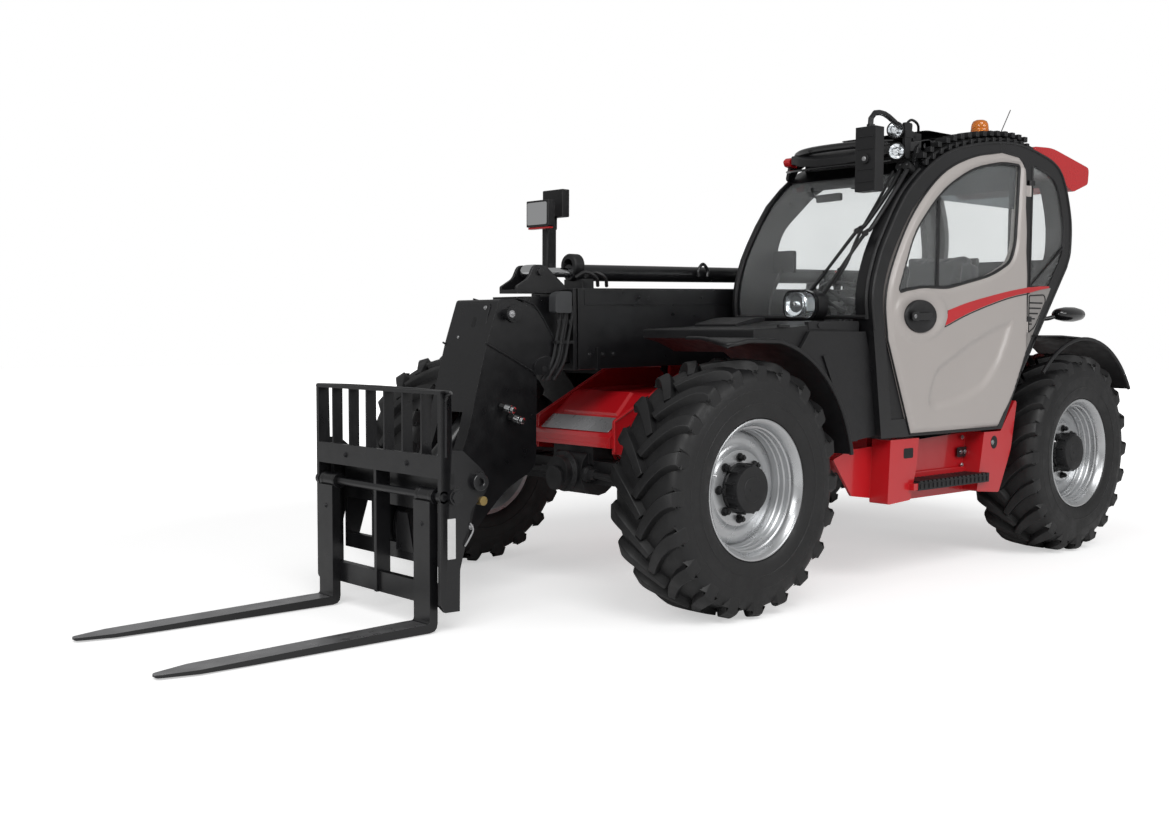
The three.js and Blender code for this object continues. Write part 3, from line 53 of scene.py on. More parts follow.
def centre_of(node):
    low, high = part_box(node)
    return (low + high) / 2


AXLE_X = centre_of("rim_front_left").x
ROLL_RADIUS = centre_of("rim_front_left").z / MM
WHEEL_Y = centre_of("rim_front_left").y / MM
WHEELBASE = (AXLE_X - centre_of("rim_rear_left").x) / MM
SIDES = (("left", 1), ("right", -1))
AXLES = (("front", 0.0), ("rear", -WHEELBASE))


def place(x, y, z):
    """A point in own millimetres as a point of the row frame in metres."""
    return Vector((AXLE_X + x * MM, y * MM, z * MM))


# ---- Materials ---------------------------------------------------------------
class Finish:
    """A principled material with noise in its colour, roughness and surface."""

    def __init__(self, name, colour, roughness, metallic=0.0):
        self.material = bpy.data.materials.new(name)
        self.material.use_nodes = True
        self.tree = self.material.node_tree
        self.shader = self.tree.nodes["Principled BSDF"]
        self.shader.inputs["Metallic"].default_value = metallic
        self.colour = colour
        self.roughness = roughness
        self.where = self.tree.nodes.new("ShaderNodeTexCoord").outputs["Object"]

    def noise(self, scale, detail=4.0, stretch=None):
        node = self.tree.nodes.new("ShaderNodeTexNoise")
        node.inputs["Scale"].default_value = scale
        node.inputs["Detail"].default_value = detail
        source = self.where
        if stretch:
            mapping = self.tree.nodes.new("ShaderNodeMapping")
            mapping.inputs["Scale"].default_value = stretch
            self.tree.links.new(source, mapping.inputs["Vector"])
            source = mapping.outputs["Vector"]
        self.tree.links.new(source, node.inputs["Vector"])
        return node.outputs["Fac"]

    def spread(self, value, low, high, start=0.3, end=0.7):
        node = self.tree.nodes.new("ShaderNodeMapRange")
        node.inputs["From Min"].default_value = start
        node.inputs["From Max"].default_value = end
        node.inputs["To Min"].default_value = low
        node.inputs["To Max"].default_value = high
        self.tree.links.new(value, node.inputs["Value"])
        return node.outputs["Result"]

    def tint(self, factor, first, second):
        node = self.tree.nodes.new("ShaderNodeMix")
        node.data_type = "RGBA"
        for index, colour in ((6, first), (7, second)):
            if isinstance(colour, bpy.types.NodeSocket):
                self.tree.links.new(colour, node.inputs[index])
            else:
                node.inputs[index].default_value = (*colour, 1.0)
        self.tree.links.new(factor, node.inputs[0])
        return node.outputs[2]

    def painted(self, variation=0.12, patch=2.5):
        """Colour that drifts a little over the surface."""
        dark = tuple(c * (1 - variation) for c in self.colour)
        light = tuple(min(1.0, c * (1 + variation)) for c in self.colour)
        factor = self.spread(self.noise(patch), 0.0, 1.0)
        self.set_colour(self.tint(factor, dark, light))
        return self

    def set_colour(self, output):
        self.tree.links.new(output, self.shader.inputs["Base Color"])
        self.base = output

    def wear_and_highlight_edges(self, edge_wear_and_highlight_colour, amount=0.35, radius=0.004):
        """Edges lighter, as edge wear and a painted edge highlight: where the rounded normal leaves the true
        one.
        """
        bevel = self.tree.nodes.new("ShaderNodeBevel")
        bevel.samples = 3
        bevel.inputs["Radius"].default_value = radius
        true = self.tree.nodes.new("ShaderNodeNewGeometry").outputs["Normal"]
        dot = self.tree.nodes.new("ShaderNodeVectorMath")
        dot.operation = "DOT_PRODUCT"
        self.tree.links.new(bevel.outputs["Normal"], dot.inputs[0])
        self.tree.links.new(true, dot.inputs[1])
        # Painted edge highlight together with edge wear: every rounded edge gets the lighter colour, whatever
        # the light.
        edge = self.spread(dot.outputs["Value"], amount, 0.0, 0.80, 0.99)
        self.set_colour(self.tint(edge, self.base, edge_wear_and_highlight_colour))
        return self

    def dusty(self, dust, height, amount=0.3):
        """A film of dust that fades out above a height."""
        split = self.tree.nodes.new("ShaderNodeSeparateXYZ")
        self.tree.links.new(self.where, split.inputs["Vector"])
        low = self.spread(split.outputs["Z"], amount, 0.0, 0.0, height)
        mask = self.tree.nodes.new("ShaderNodeMath")
        mask.operation = "MULTIPLY"
        self.tree.links.new(low, mask.inputs[0])
        self.tree.links.new(self.spread(self.noise(9.0, 8.0), 0.2, 1.0), mask.inputs[1])
        self.set_colour(self.tint(mask.outputs["Value"], self.base, dust))
        return self

    def rough(self, spread=0.08, scale=14.0):
        value = self.spread(self.noise(scale, 6.0), self.roughness - spread, self.roughness + spread)
        self.tree.links.new(value, self.shader.inputs["Roughness"])
        return self

    def bumped(self, scale, strength, distance=0.001, detail=3.0, stretch=None):
        bump = self.tree.nodes.new("ShaderNodeBump")
        bump.inputs["Strength"].default_value = strength
        bump.inputs["Distance"].default_value = distance
        self.tree.links.new(self.noise(scale, detail, stretch), bump.inputs["Height"])
        self.tree.links.new(bump.outputs["Normal"], self.shader.inputs["Normal"])
        return self

    def coated(self, weight, roughness=0.08):
        self.shader.inputs["Coat Weight"].default_value = weight
        self.shader.inputs["Coat Roughness"].default_value = roughness
        return self


def finish(name, colour, roughness, painted, rough, bumped, metallic=0.0, wear_and_highlight_edges=None, dusty=None, coated=None):
    """A material by the usual steps; each step's argument holds its values."""
    look = Finish(name, colour, roughness, metallic).painted(*painted)
    # Lighter edges: edge wear and a painted edge highlight.
    if wear_and_highlight_edges:
        look.wear_and_highlight_edges(*wear_and_highlight_edges)
    if dusty:
        look.dusty(*dusty)
    look.rough(*rough).bumped(*bumped)
    if coated:
        look.coated(*coated)
    return look.material


def seat_fabric():
    look = Finish("seat_fabric", (0.035, 0.036, 0.040), 0.85).painted(0.3, 30.0)
    weave = look.tree.nodes.new("ShaderNodeTexWave")
    weave.inputs["Scale"].default_value = 260.0
    weave.inputs["Distortion"].default_value = 1.5
    look.tree.links.new(look.where, weave.inputs["Vector"])
    look.set_colour(
        look.tint(look.spread(weave.outputs["Fac"], 0.0, 0.5, 0.0, 1.0), look.base, (0.08, 0.08, 0.085))
    )
    look.shader.inputs["Sheen Weight"].default_value = 0.3
    return look.rough(0.06).bumped(900.0, 0.6, 0.0008, 4.0).material


def glazing(name, colour, transmission, roughness=0.004):
    look = Finish(name, colour, roughness).painted(0.04, 1.0)
    look.shader.inputs["Transmission Weight"].default_value = transmission
    look.shader.inputs["IOR"].default_value = 1.12
    look.shader.inputs["Specular IOR Level"].default_value = 0.5
    return look.rough(0.002, 3.0).material


def lens_plastic(name, colour, roughness=0.1):
    look = Finish(name, colour, roughness).painted(0.06, 20.0)
    look.shader.inputs["Transmission Weight"].default_value = 0.35
    look.shader.inputs["Subsurface Weight"].default_value = 0.1
    return look.rough(0.04).bumped(160.0, 0.25, 0.002, 1.0, (1.0, 1.0, 0.2)).coated(0.6, 0.04).material


PAINT_ROUGHNESS = 0.34
# The edge arguments below paint lighter edges: edge wear together with a painted edge highlight.
RED = finish(
    "red_paint", (0.56, 0.008, 0.014), PAINT_ROUGHNESS, (0.06, 1.6), (0.05,), (260.0, 0.05),
    wear_and_highlight_edges=((0.75, 0.12, 0.1), 0.3), coated=(0.7,),
)
BLACK = finish(
    "black_paint", (0.007, 0.007, 0.008), PAINT_ROUGHNESS, (0.2, 2.0), (0.07,), (300.0, 0.06),
    wear_and_highlight_edges=((0.05, 0.05, 0.055), 0.4), coated=(0.25, 0.2),
)
GREY = finish(
    "grey_paint", (0.46, 0.425, 0.405), PAINT_ROUGHNESS, (0.03, 1.4), (0.05,), (240.0, 0.04),
    wear_and_highlight_edges=((0.6, 0.57, 0.54), 0.35), coated=(0.5, 0.12),
)
SILVER = finish(
    "silver_paint", (0.56, 0.57, 0.58), 0.30, (0.05, 5.0), (0.06,), (500.0, 0.08), 0.75,
    wear_and_highlight_edges=((0.85, 0.85, 0.86), 0.5), coated=(0.3, 0.15),
)
PLASTIC = finish(
    "black_plastic", (0.009, 0.009, 0.010), 0.45, (0.15, 3.0), (0.08, 20.0), (1400.0, 0.25, 0.0004),
    wear_and_highlight_edges=((0.04, 0.04, 0.042), 0.35),
)
GLOSS = finish(
    "gloss_black", (0.010, 0.010, 0.011), 0.16, (0.2, 3.0), (0.04, 12.0), (300.0, 0.03), coated=(0.6, 0.05)
)
RED_PLASTIC = finish(
    "red_plastic", (0.60, 0.010, 0.014), 0.28, (0.05, 2.0), (0.05,), (200.0, 0.03), coated=(0.5,)
)
IRON = finish(
    "cast_iron", (0.010, 0.010, 0.011), 0.5, (0.3, 8.0), (0.1,), (420.0, 0.5, 0.0012, 6.0), 0.1,
    wear_and_highlight_edges=((0.05, 0.05, 0.05), 0.4),
)
CHROME = finish(
    "chrome", (0.78, 0.79, 0.80), 0.10, (0.04, 4.0), (0.04, 30.0),
    (500.0, 0.03, 0.0005, 2.0, (1.0, 1.0, 12.0)), 1.0,
)
STEEL = finish(
    "bare_steel", (0.42, 0.42, 0.43), 0.34, (0.18, 6.0), (0.12, 22.0),
    (160.0, 0.25, 0.0008, 8.0, (1.0, 9.0, 9.0)), 0.85, wear_and_highlight_edges=((0.75, 0.75, 0.75), 0.6),
)
RUBBER = finish(
    "tyre_rubber", (0.008, 0.008, 0.0085), 0.5, (0.25, 4.0), (0.1, 18.0), (240.0, 0.35, 0.0012, 6.0),
    wear_and_highlight_edges=((0.03, 0.03, 0.03), 0.4), dusty=((0.03, 0.028, 0.026), 0.35, 0.2),
)
QUARTER_GREY = finish("quarter_grey", (0.29, 0.275, 0.265), 0.4, (0.04, 1.5), (0.05,), (240.0, 0.04))
MIRROR_DARK = finish("display_glass", (0.02, 0.025, 0.03), 0.08, (0.3, 8.0), (0.03,), (8.0, 0.01))
BRASS = finish("brass", (0.55, 0.40, 0.16), 0.3, (0.1, 20.0), (0.06,), (200.0, 0.1), 0.9)
LABEL = finish("blank_label", (0.72, 0.72, 0.72), 0.4, (0.04, 30.0), (0.05,), (300.0, 0.05))
BAND = finish("deck_band", (0.40, 0.40, 0.41), 0.3, (0.05, 6.0), (0.06,), (200.0, 0.1), 0.6)
GREY_DARK = finish("grey_casting", (0.05, 0.052, 0.055), 0.45, (0.1, 8.0), (0.08,), (200.0, 0.1))
HEAD_LENS = glazing("head_lens", (0.9, 0.92, 0.93), 0.97)
FABRIC = seat_fabric()
GLASS = glazing("clear_glass", (0.87, 0.885, 0.885), 0.95)
TINTED = glazing("tinted_glass", (0.16, 0.18, 0.19), 0.85)
MIRROR = finish("mirror_glass", (0.85, 0.86, 0.87), 0.03, (0.02, 2.0), (0.01,), (4.0, 0.01), 1.0)
AMBER = lens_plastic("amber_lens", (0.95, 0.28, 0.03))
RED_LENS = lens_plastic("red_lens", (0.65, 0.02, 0.02))
CLEAR_LENS = lens_plastic("clear_lens", (0.80, 0.81, 0.82), 0.06)


# ---- Shape helpers -------------------------------------------------------------
class Shape:
    """Vertices in own millimetres, faces, and the material of each face."""

    def __init__(self):
        self.points = []
        self.faces = []
        self.looks = []

    def add(self, points, faces, look=0):
        start = len(self.points)
        self.points += [Vector(p) for p in points]
        self.faces += [tuple(start + i for i in face) for face in faces]
        self.looks += [look] * len(faces)
        return self

    def block(self, low, high, look=0):
        (x0, y0, z0), (x1, y1, z1) = low, high
        points = [(x, y, z) for x in (x0, x1) for y in (y0, y1) for z in (z0, z1)]
        faces = [(0, 1, 3, 2), (4, 6, 7, 5), (0, 4, 5, 1), (2, 3, 7, 6), (0, 2, 6, 4), (1, 5, 7, 3)]
        return self.add(points, faces, look)

    def prism(self, outline, low, high, axis="y", holes=(), look=0):
        """Plate between two heights on an axis; the outline is in the other two."""
        rings = [list(outline)] + [list(hole) for hole in holes]
        flat = [point for ring in rings for point in ring]
        triangles = tessellate_polygon([[Vector((a, b, 0)) for a, b in ring] for ring in rings])
        count = len(flat)
        points = [on_axis(axis, a, b, level) for level in (low, high) for a, b in flat]
        faces = [tuple(t) for t in triangles] + [tuple(count + i for i in reversed(t)) for t in triangles]
        start = 0
        for ring in rings:
            size = len(ring)
            for i in range(size):
                j = (i + 1) % size
                faces.append((start + i, start + j, count + start + j, count + start + i))
            start += size
        return self.add(points, faces, look)

    def lathe(self, profile, centre, axis="y", segments=48, look=0, turn=0.0):
        """Body of revolution; profile points are [radius, distance along the axis]."""
        points = []
        for radius, along in profile:
            for i in range(segments):
                angle = turn + 2 * math.pi * i / segments
                a, b = radius * math.cos(angle), radius * math.sin(angle)
                points.append(Vector(centre) + on_axis(axis, a, b, along))
        return self.add(points, ring_faces(len(profile), segments), look)

    def rod(self, start, end, radius, segments=16, look=0, end_radius=None):
        return self.tube([start, end], radius, segments, look, end_radius)

    def tube(self, path, radius, segments=10, look=0, end_radius=None):
        """Round bar along a path with closed ends."""
        path = [Vector(p) for p in path]
        last = len(path) - 1
        end_radius = radius if end_radius is None else end_radius
        side = None
        points = []
        for i, point in enumerate(path):
            ahead = (path[min(i + 1, last)] - path[max(i - 1, 0)]).normalized()
            if side is None:
                other = Vector((0, 0, 1)) if abs(ahead.z) < 0.9 else Vector((1, 0, 0))
                side = ahead.cross(other).normalized()
            side = (side - ahead * side.dot(ahead)).normalized()
            up = ahead.cross(side)
            size = radius + (end_radius - radius) * i / max(last, 1)
            for k in range(segments):
                angle = 2 * math.pi * k / segments
                points.append(point + side * (size * math.cos(angle)) + up * (size * math.sin(angle)))
        faces = ring_faces(len(path), segments)
        faces.append(tuple(range(segments)))
        faces.append(tuple(last * segments + k for k in reversed(range(segments))))
        return self.add(points, faces, look)

    def pipe(self, points, radius, segments=10, look=0, end_radius=None, steps=6):
        """Tube along the smooth curve through the points."""
        return self.tube(smooth_path(points, steps), radius, segments, look, end_radius)

    def bolt(self, centre, direction, radius, height, look=0, washer=True):
        """Hexagon head on a washer, standing on a surface."""
        axis = Vector(direction).normalized()
        foot = Vector(centre)
        if washer:
            self.rod(foot, foot + axis * (height * 0.25), radius * 1.35, 16, look)
        self.rod(foot, foot + axis * height, radius, 6, look)
        return self.rod(foot + axis * height, foot + axis * (height * 1.25), radius * 0.6, 10, look)

    def mirrored(self):
        """The same shape on the other side of the machine."""
        made = Shape()
        made.points = [Vector((p.x, -p.y, p.z)) for p in self.points]
        made.faces = [tuple(reversed(face)) for face in self.faces]
        made.looks = list(self.looks)
        return made

    def moved(self, x=0.0, y=0.0, z=0.0):
        shift = Vector((x, y, z))
        self.points = [p + shift for p in self.points]
        return self


def ring_faces(rings, count):
    """Quads between rings of count points that follow each other."""
    faces = []
    for row in range(rings - 1):
        start, above = row * count, (row + 1) * count
        for i in range(count):
            j = (i + 1) % count
            faces.append((start + i, start + j, above + j, above + i))
    return faces


def slab_faces(count):
    """Faces of a slab between two outlines of count points."""
    faces = [tuple(reversed(range(count))), tuple(range(count, 2 * count))]
    return faces + [(i, (i + 1) % count, count + (i + 1) % count, count + i) for i in range(count)]


def on_axis(axis, a, b, along):
    if axis == "y":
        return Vector((a, along, b))
    if axis == "z":
        return Vector((a, b, along))
    return Vector((along, a, b))


def rounded(corners, steps=5, radius=0.0):
    """Closed outline with rounded corners (a, b) or, with a radius of its own, (a, b, radius)."""
    points = []
    count = len(corners)
    for i, corner in enumerate(corners):
        here = Vector(corner[:2])
        wanted = corner[2] if len(corner) > 2 else radius
        before = Vector(corners[i - 1][:2])
        after = Vector(corners[(i + 1) % count][:2])
        reach = min(wanted, 0.48 * min((before - here).length, (after - here).length))
        if reach <= 0:
            points.append(tuple(here))
            continue
        start = here + (before - here).normalized() * reach
        end = here + (after - here).normalized() * reach
        for k in range(steps + 1):
            t = k / steps
            points.append(tuple(start * (1 - t) ** 2 + here * (2 * t * (1 - t)) + end * t**2))
    return points


def round_box(a0, b0, a1, b1, radius, steps=5):
    return rounded([(a0, b0), (a1, b0), (a1, b1), (a0, b1)], steps, radius)


def circle(a, b, radius, count=24, squash=1.0):
    turns = [2 * math.pi * i / count for i in range(count)]
    return [(a + radius * math.cos(t), b + radius * squash * math.sin(t)) for t in turns]


def smooth_path(points, steps=6):
    """Catmull-Rom curve through the points."""
    points = [Vector(p) for p in points]
    ends = [points[0] * 2 - points[1], *points, points[-1] * 2 - points[-2]]
    path = []
    for i in range(1, len(ends) - 2):
        p0, p1, p2, p3 = ends[i - 1 : i + 3]
        for k in range(steps):
            t = k / steps
            path.append(
                0.5 * (
                    2 * p1 + (p2 - p0) * t + (
                        2 * p0 - 5 * p1 + 4 * p2 - p3
                    ) * t**2 + (3 * p1 - p0 - 3 * p2 + p3) * t**3
                )
            )
    return [*path, points[-1]]


def smooth_by_angle(mesh, degrees):
    mesh.polygons.foreach_set("use_smooth", [True] * len(mesh.polygons))
    mesh.set_sharp_from_angle(angle=math.radians(degrees))


def piece(name, shape, looks, body, stands_for=(), bevel=0.0, angle=32.0, levels=2):
    """Object made from a shape; it rides on a body and may stand for CAD nodes."""
    looks = looks if isinstance(looks, (list, tuple)) else [looks]
    mesh = bpy.data.meshes.new(name)
    mesh.from_pydata([place(*p) for p in shape.points], [], shape.faces)
    tidy = bmesh.new()
    tidy.from_mesh(mesh)
    tidy.faces.ensure_lookup_table()
    for face, look in zip(tidy.faces, shape.looks):
        face.material_index = look
    bmesh.ops.recalc_face_normals(tidy, faces=tidy.faces)
    tidy.to_mesh(mesh)
    tidy.free()
    for look in looks:
        mesh.materials.append(look)
    made = bpy.data.objects.new(name, mesh)
    bpy.context.scene.collection.objects.link(made)
    if bevel:
        round_edges(made, bevel, levels)
        even_shading(made)
    else:
        smooth_by_angle(mesh, angle)
    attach(made, body)
    if stands_for:
        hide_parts(*stands_for)
    return made


def round_edges(made, width, levels=2):
    bevel = made.modifiers.new("bevel", "BEVEL")
    bevel.width = width * MM
    bevel.segments = levels
    bevel.limit_method = "ANGLE"
    bevel.angle_limit = math.radians(32)
    bevel.use_clamp_overlap = True


def even_shading(made):
    """Keeps flat faces flat: splits the edges left sharp, then weights by area."""
    split = made.modifiers.new("split", "EDGE_SPLIT")
    split.split_angle = math.radians(50)
    split.use_edge_sharp = False
    made.modifiers.new("weighted", "WEIGHTED_NORMAL").mode = "FACE_AREA"
    made.data.polygons.foreach_set("use_smooth", [True] * len(made.data.polygons))


def dress(node, look, bevel=0.0):
    """Gives a carried CAD node its finish and rounds its edges with modifiers."""
    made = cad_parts[node]
    made.data.materials.clear()
    made.data.materials.append(look)
    made.modifiers.new("weld", "WELD").merge_threshold = 0.00005
    flat = made.modifiers.new("flat", "DECIMATE")
    flat.decimate_type = "DISSOLVE"
    flat.angle_limit = math.radians(0.6)
    if bevel:
        round_edges(made, bevel)
    even_shading(made)
    return made


# ---- Stage ---------------------------------------------------------------------
WHITE = (1.0, 1.0, 1.0, 1.0)
CAMERA_AT = (4502.1, 5046.1, 1290.4)
CAMERA_TURN = (3.9835, 0.0671, 0.004)
CAMERA_LENS = 40.69
CAMERA_SHIFT = (0.0006, 0.0066)
WORLD_LIGHT = 0.30
FLOOR_HALF = 40.0
FLOOR_DROP = 0.001


def add_camera():
    yaw, pitch, roll = CAMERA_TURN
    ahead = Vector((math.cos(yaw) * math.cos(pitch), math.sin(yaw) * math.cos(pitch), -math.sin(pitch)))
    side = ahead.cross(Vector((0, 0, 1))).normalized()
    up = side.cross(ahead)
    right = side * math.cos(roll) + up * math.sin(roll)
    top = up * math.cos(roll) - side * math.sin(roll)
    data = bpy.data.cameras.new("camera")
    data.sensor_width = 36.0
    data.lens = CAMERA_LENS
    data.shift_x, data.shift_y = CAMERA_SHIFT
    camera = bpy.data.objects.new("camera", data)
    turn = Matrix((right, top, -ahead)).transposed().to_4x4()
    camera.matrix_world = Matrix.Translation(place(*CAMERA_AT)) @ turn
    bpy.context.scene.collection.objects.link(camera)
    bpy.context.scene.camera = camera


def seen_directly(tree):
    """1 for what the camera sees, also through glass."""
    rays = tree.nodes.new("ShaderNodeLightPath")
    most = tree.nodes.new("ShaderNodeMath")
    most.operation = "MAXIMUM"
    tree.links.new(rays.outputs["Is Camera Ray"], most.inputs[0])
    tree.links.new(rays.outputs["Is Transmission Ray"], most.inputs[1])
    return most.outputs["Value"]


def add_world():
    world = bpy.data.worlds.new("studio")
    bpy.context.scene.world = world
    world.use_nodes = True
    tree = world.node_tree
    light = tree.nodes["Background"]
    light.inputs["Color"].default_value = WHITE
    light.inputs["Strength"].default_value = WORLD_LIGHT
    backdrop = tree.nodes.new("ShaderNodeBackground")
    backdrop.inputs["Color"].default_value = WHITE
    backdrop.inputs["Strength"].default_value = 1.0
    mix = tree.nodes.new("ShaderNodeMixShader")
    tree.links.new(seen_directly(tree), mix.inputs["Fac"])
    tree.links.new(light.outputs["Background"], mix.inputs[1])
    tree.links.new(backdrop.outputs["Background"], mix.inputs[2])
    tree.links.new(mix.outputs["Shader"], tree.nodes["World Output"].inputs["Surface"])


def floor_material():
    look = Finish("floor", (0.86, 0.86, 0.86), 0.7).painted(0.01, 0.6).rough(0.05, 2.0)
    look.shader.inputs["Specular IOR Level"].default_value = 0.1
    glow = look.tree.nodes.new("ShaderNodeEmission")
    glow.inputs["Color"].default_value = WHITE
    lift = look.tree.nodes.new("ShaderNodeMath")
    lift.operation = "MULTIPLY"
    reach = look.tree.nodes.new("ShaderNodeVectorMath")
    reach.operation = "LENGTH"
    look.tree.links.new(look.where, reach.inputs[0])
    far = look.spread(reach.outputs["Value"], 0.50, 1.0, 3.5, 9.0)
    look.tree.links.new(far, lift.inputs[1])
    look.tree.links.new(seen_directly(look.tree), lift.inputs[0])
    look.tree.links.new(lift.outputs["Value"], glow.inputs["Strength"])
    both = look.tree.nodes.new("ShaderNodeAddShader")
    look.tree.links.new(look.shader.outputs["BSDF"], both.inputs[0])
    look.tree.links.new(glow.outputs["Emission"], both.inputs[1])
    look.tree.links.new(both.outputs["Shader"], look.tree.nodes["Material Output"].inputs["Surface"])
    return look.material


def add_floor():
    half = FLOOR_HALF
    mesh = bpy.data.meshes.new("floor")
    mesh.from_pydata(
        [(-half, -half, 0), (half, -half, 0), (half, half, 0), (-half, half, 0)], [], [(0, 1, 2, 3)]
    )
    mesh.materials.append(floor_material())
    floor = bpy.data.objects.new("floor", mesh)
    floor.location.z = -FLOOR_DROP
    bpy.context.scene.collection.objects.link(floor)


def add_lamp(name, kind, energy, position, target, size=None, angle=None):
    data = bpy.data.lights.new(name, kind)
    data.energy = energy
    if size:
        data.shape = "RECTANGLE"
        data.size, data.size_y = size
    if angle:
        data.angle = angle
    lamp = bpy.data.objects.new(name, data)
    lamp.location = position
    lamp.rotation_euler = (Vector(target) - Vector(position)).to_track_quat("-Z", "Y").to_euler()
    bpy.context.scene.collection.objects.link(lamp)


def add_light():
    add_lamp("key", "SUN", 0.95, (4.0, 7.0, 9.0), (0, 0, 0.8), angle=math.radians(28))
    add_lamp("front_softbox", "AREA", 170.0, (7.5, 3.5, 4.5), (1.5, 0, 1.0), size=(4.0, 3.0))
    add_lamp("side_softbox", "AREA", 130.0, (-2.0, 8.0, 4.0), (-1.0, 0.8, 1.0), size=(5.0, 2.5))


# ---- Wheels ----------------------------------------------------------------------
LUGS = 20
LUG_FACE = ROLL_RADIUS
LUG_FLAT_Y = 100.0
CARCASS_PROFILE = [
    (318, 168),
    (326, 184),
    (345, 191),
    (372, 197),
    (430, 201),
    (470, 199),
    (500, 194),
    (522, 184),
    (538, 168),
    (546, 140),
    (550, 90),
    (551, 40),
]


def lug_radius(y):
    """Radius of the lugs' face: flat in the middle, falling to the shoulder."""
    y = abs(y)
    if y <= LUG_FLAT_Y:
        return LUG_FACE - 0.5
    t = (y - LUG_FLAT_Y) / 98.0
    return LUG_FACE - 0.5 - 30.0 * t**2.2


def lug_points(side, angle):
    """One chevron bar from just past the middle to the shoulder and down the wall."""
    pitch = 2 * math.pi / LUGS
    sections = []
    stations = 9
    for i in range(stations):
        u = i / (stations - 1)
        y = -14 + u * 208
        lean = angle + pitch * 1.02 * (1 - (1 - u) ** 1.55)
        half = 20 + 15 * u
        sections.append((lean, y, half, lug_radius(y), 540 if y < 150 else 528))
    for radius, y, half in ((540, 200, 36), (510, 203, 37), (482, 202, 36)):
        sections.append((angle + pitch * 1.02, y, half, radius, None))
    points = []
    for index, (lean, y, half, top, foot) in enumerate(sections):
        ahead = sections[min(index + 1, len(sections) - 1)]
        behind = sections[max(index - 1, 0)]
        along = Vector(((ahead[0] - behind[0]) * top, ahead[1] - behind[1]))
        along = along.normalized() if along.length > 1e-6 else Vector((0, 1))
        across = Vector((along.y, -along.x))
        if foot is None:
            across = Vector((1, 0))
        for sign, level, flare in ((-1, foot, 1.35), (-1, top, 0.86), (1, top, 0.86), (1, foot, 1.35)):
            radius = top if level is None else level
            a = lean + sign * half * flare * across.x / top
            b = y + sign * half * flare * across.y
            if foot is None:
                b = y - 26 if level is None else y - 3
            if level == top and abs(b) > 196:
                b = math.copysign(196, b)
            points.append((radius * math.cos(a), side * b, radius * math.sin(a)))
    return points


def lug_faces(sections):
    faces = [(0, 1, 2, 3), tuple(4 * sections - 1 - i for i in range(4))]
    for i in range(sections - 1):
        base = 4 * i
        for k in range(4):
            n = (k + 1) % 4
            faces.append((base + k, base + 4 + k, base + 4 + n, base + n))
    return faces


def tyre_shape():
    shape = Shape()
    right = [(r, y) for r, y in CARCASS_PROFILE]
    left = [(r, -y) for r, y in reversed(CARCASS_PROFILE)]
    shape.lathe([*right, *left, (318, -168), (306, -150), (306, 150), (318, 168)], (0, 0, 0), segments=96)
    for ring_y in (203.2, -203.2):
        for radius in (392, 452):
            shape.lathe(
                [(radius - 5, ring_y * 0.975), (radius, ring_y * 0.997), (radius + 5, ring_y * 0.975)],
                (0, 0, 0), segments=96,
            )
    for side in (1, -1):
        for i in range(LUGS):
            offset = 0.0 if side > 0 else 0.5
            points = lug_points(side, 2 * math.pi * (i + offset) / LUGS)
            shape.add(points, lug_faces(len(points) // 4))
    return shape


RIM_PROFILE = [
    (306, 150),
    (319, 170),
    (320, 181),
    (314, 182.5),
    (306, 178),
    (298, 168),
    (290, 156),
    (286, 146),
    (285, 137),
    (278, 133),
    (277, 108),
    (272, 103),
    (271, 80),
    (267, 75),
    (266, 56),
    (262, 50),
    (262, 40),
    (266, 37),
    (264, 34),
    (258, 38),
    (252, 46),
    (240, 53),
    (222, 54),
    (206, 51),
    (192, 53),
    (180, 62),
    (173, 69),
    (166, 70.5),
    (110, 70.5),
]


def rim_shape():
    """Look 0 is the painted rim, look 1 the cast hub and its nuts."""
    shape = Shape()
    back = [
        (110, 56), (166, 56), (200, 38), (252, 22), (258, -60), (288, -150), (300, -176), (320, -181),
        (319, -168), (306, -150),
    ]
    shape.lathe([*RIM_PROFILE, *back, (306, 150)], (0, 0, 0), segments=96)
    hub = [
        (0, 60), (116, 60), (116, 84), (111, 88), (109, 140), (104, 152), (98, 154), (60, 154), (58, 156),
        (0, 156),
    ]
    shape.lathe(hub, (0, 0, 0), segments=48, look=1)
    for i in range(8):
        angle = math.pi * i / 4
        x, z = 140 * math.cos(angle), 140 * math.sin(angle)
        shape.rod((x, 70, z), (x, 76, z), 21, 20, 1)
        shape.rod((x, 75, z), (x, 96, z), 15.5, 6, 1)
        shape.rod((x, 95, z), (x, 104, z), 9, 12, 1)
    for i in range(12):
        angle = math.pi * (i + 0.5) / 6
        x, z = 111 * math.cos(angle), 111 * math.sin(angle)
        shape.rod((x, 82, z), (x, 134, z), 7, 8, 1)
    shape.rod((18, 155, 0), (18, 158, 0), 4, 10, 1)
    valve = [
        (286 * math.cos(0.3), 150, 286 * math.sin(0.3)), (270 * math.cos(0.3), 168, 270 * math.sin(0.3))
    ]
    shape.tube(valve, 5, 8, 2)
    return shape


def add_wheels():
    tyre = tyre_shape()
    rim = rim_shape()
    for place_name, x in AXLES:
        for side_name, side in SIDES:
            corner = f"{place_name}_{side_name}"
            for kind, source, looks in (("tyre", tyre, [RUBBER]), ("rim", rim, [SILVER, IRON, STEEL])):
                made = source if side > 0 else source.mirrored()
                copy = Shape()
                copy.points = [p.copy() for p in made.points]
                copy.faces, copy.looks = made.faces, made.looks
                copy.moved(x, side * WHEEL_Y, ROLL_RADIUS)
                bevel = 3.0 if kind == "tyre" else 0.0
                piece(
                    f"{kind}_{corner}_full", copy, looks, f"wheel_{corner}", [f"{kind}_{corner}"], bevel,
                    levels=1,
                )
            dress(f"knuckle_{corner}", IRON, 4)
    for node in ("front_axle", "rear_axle"):
        dress(node, IRON, 4)


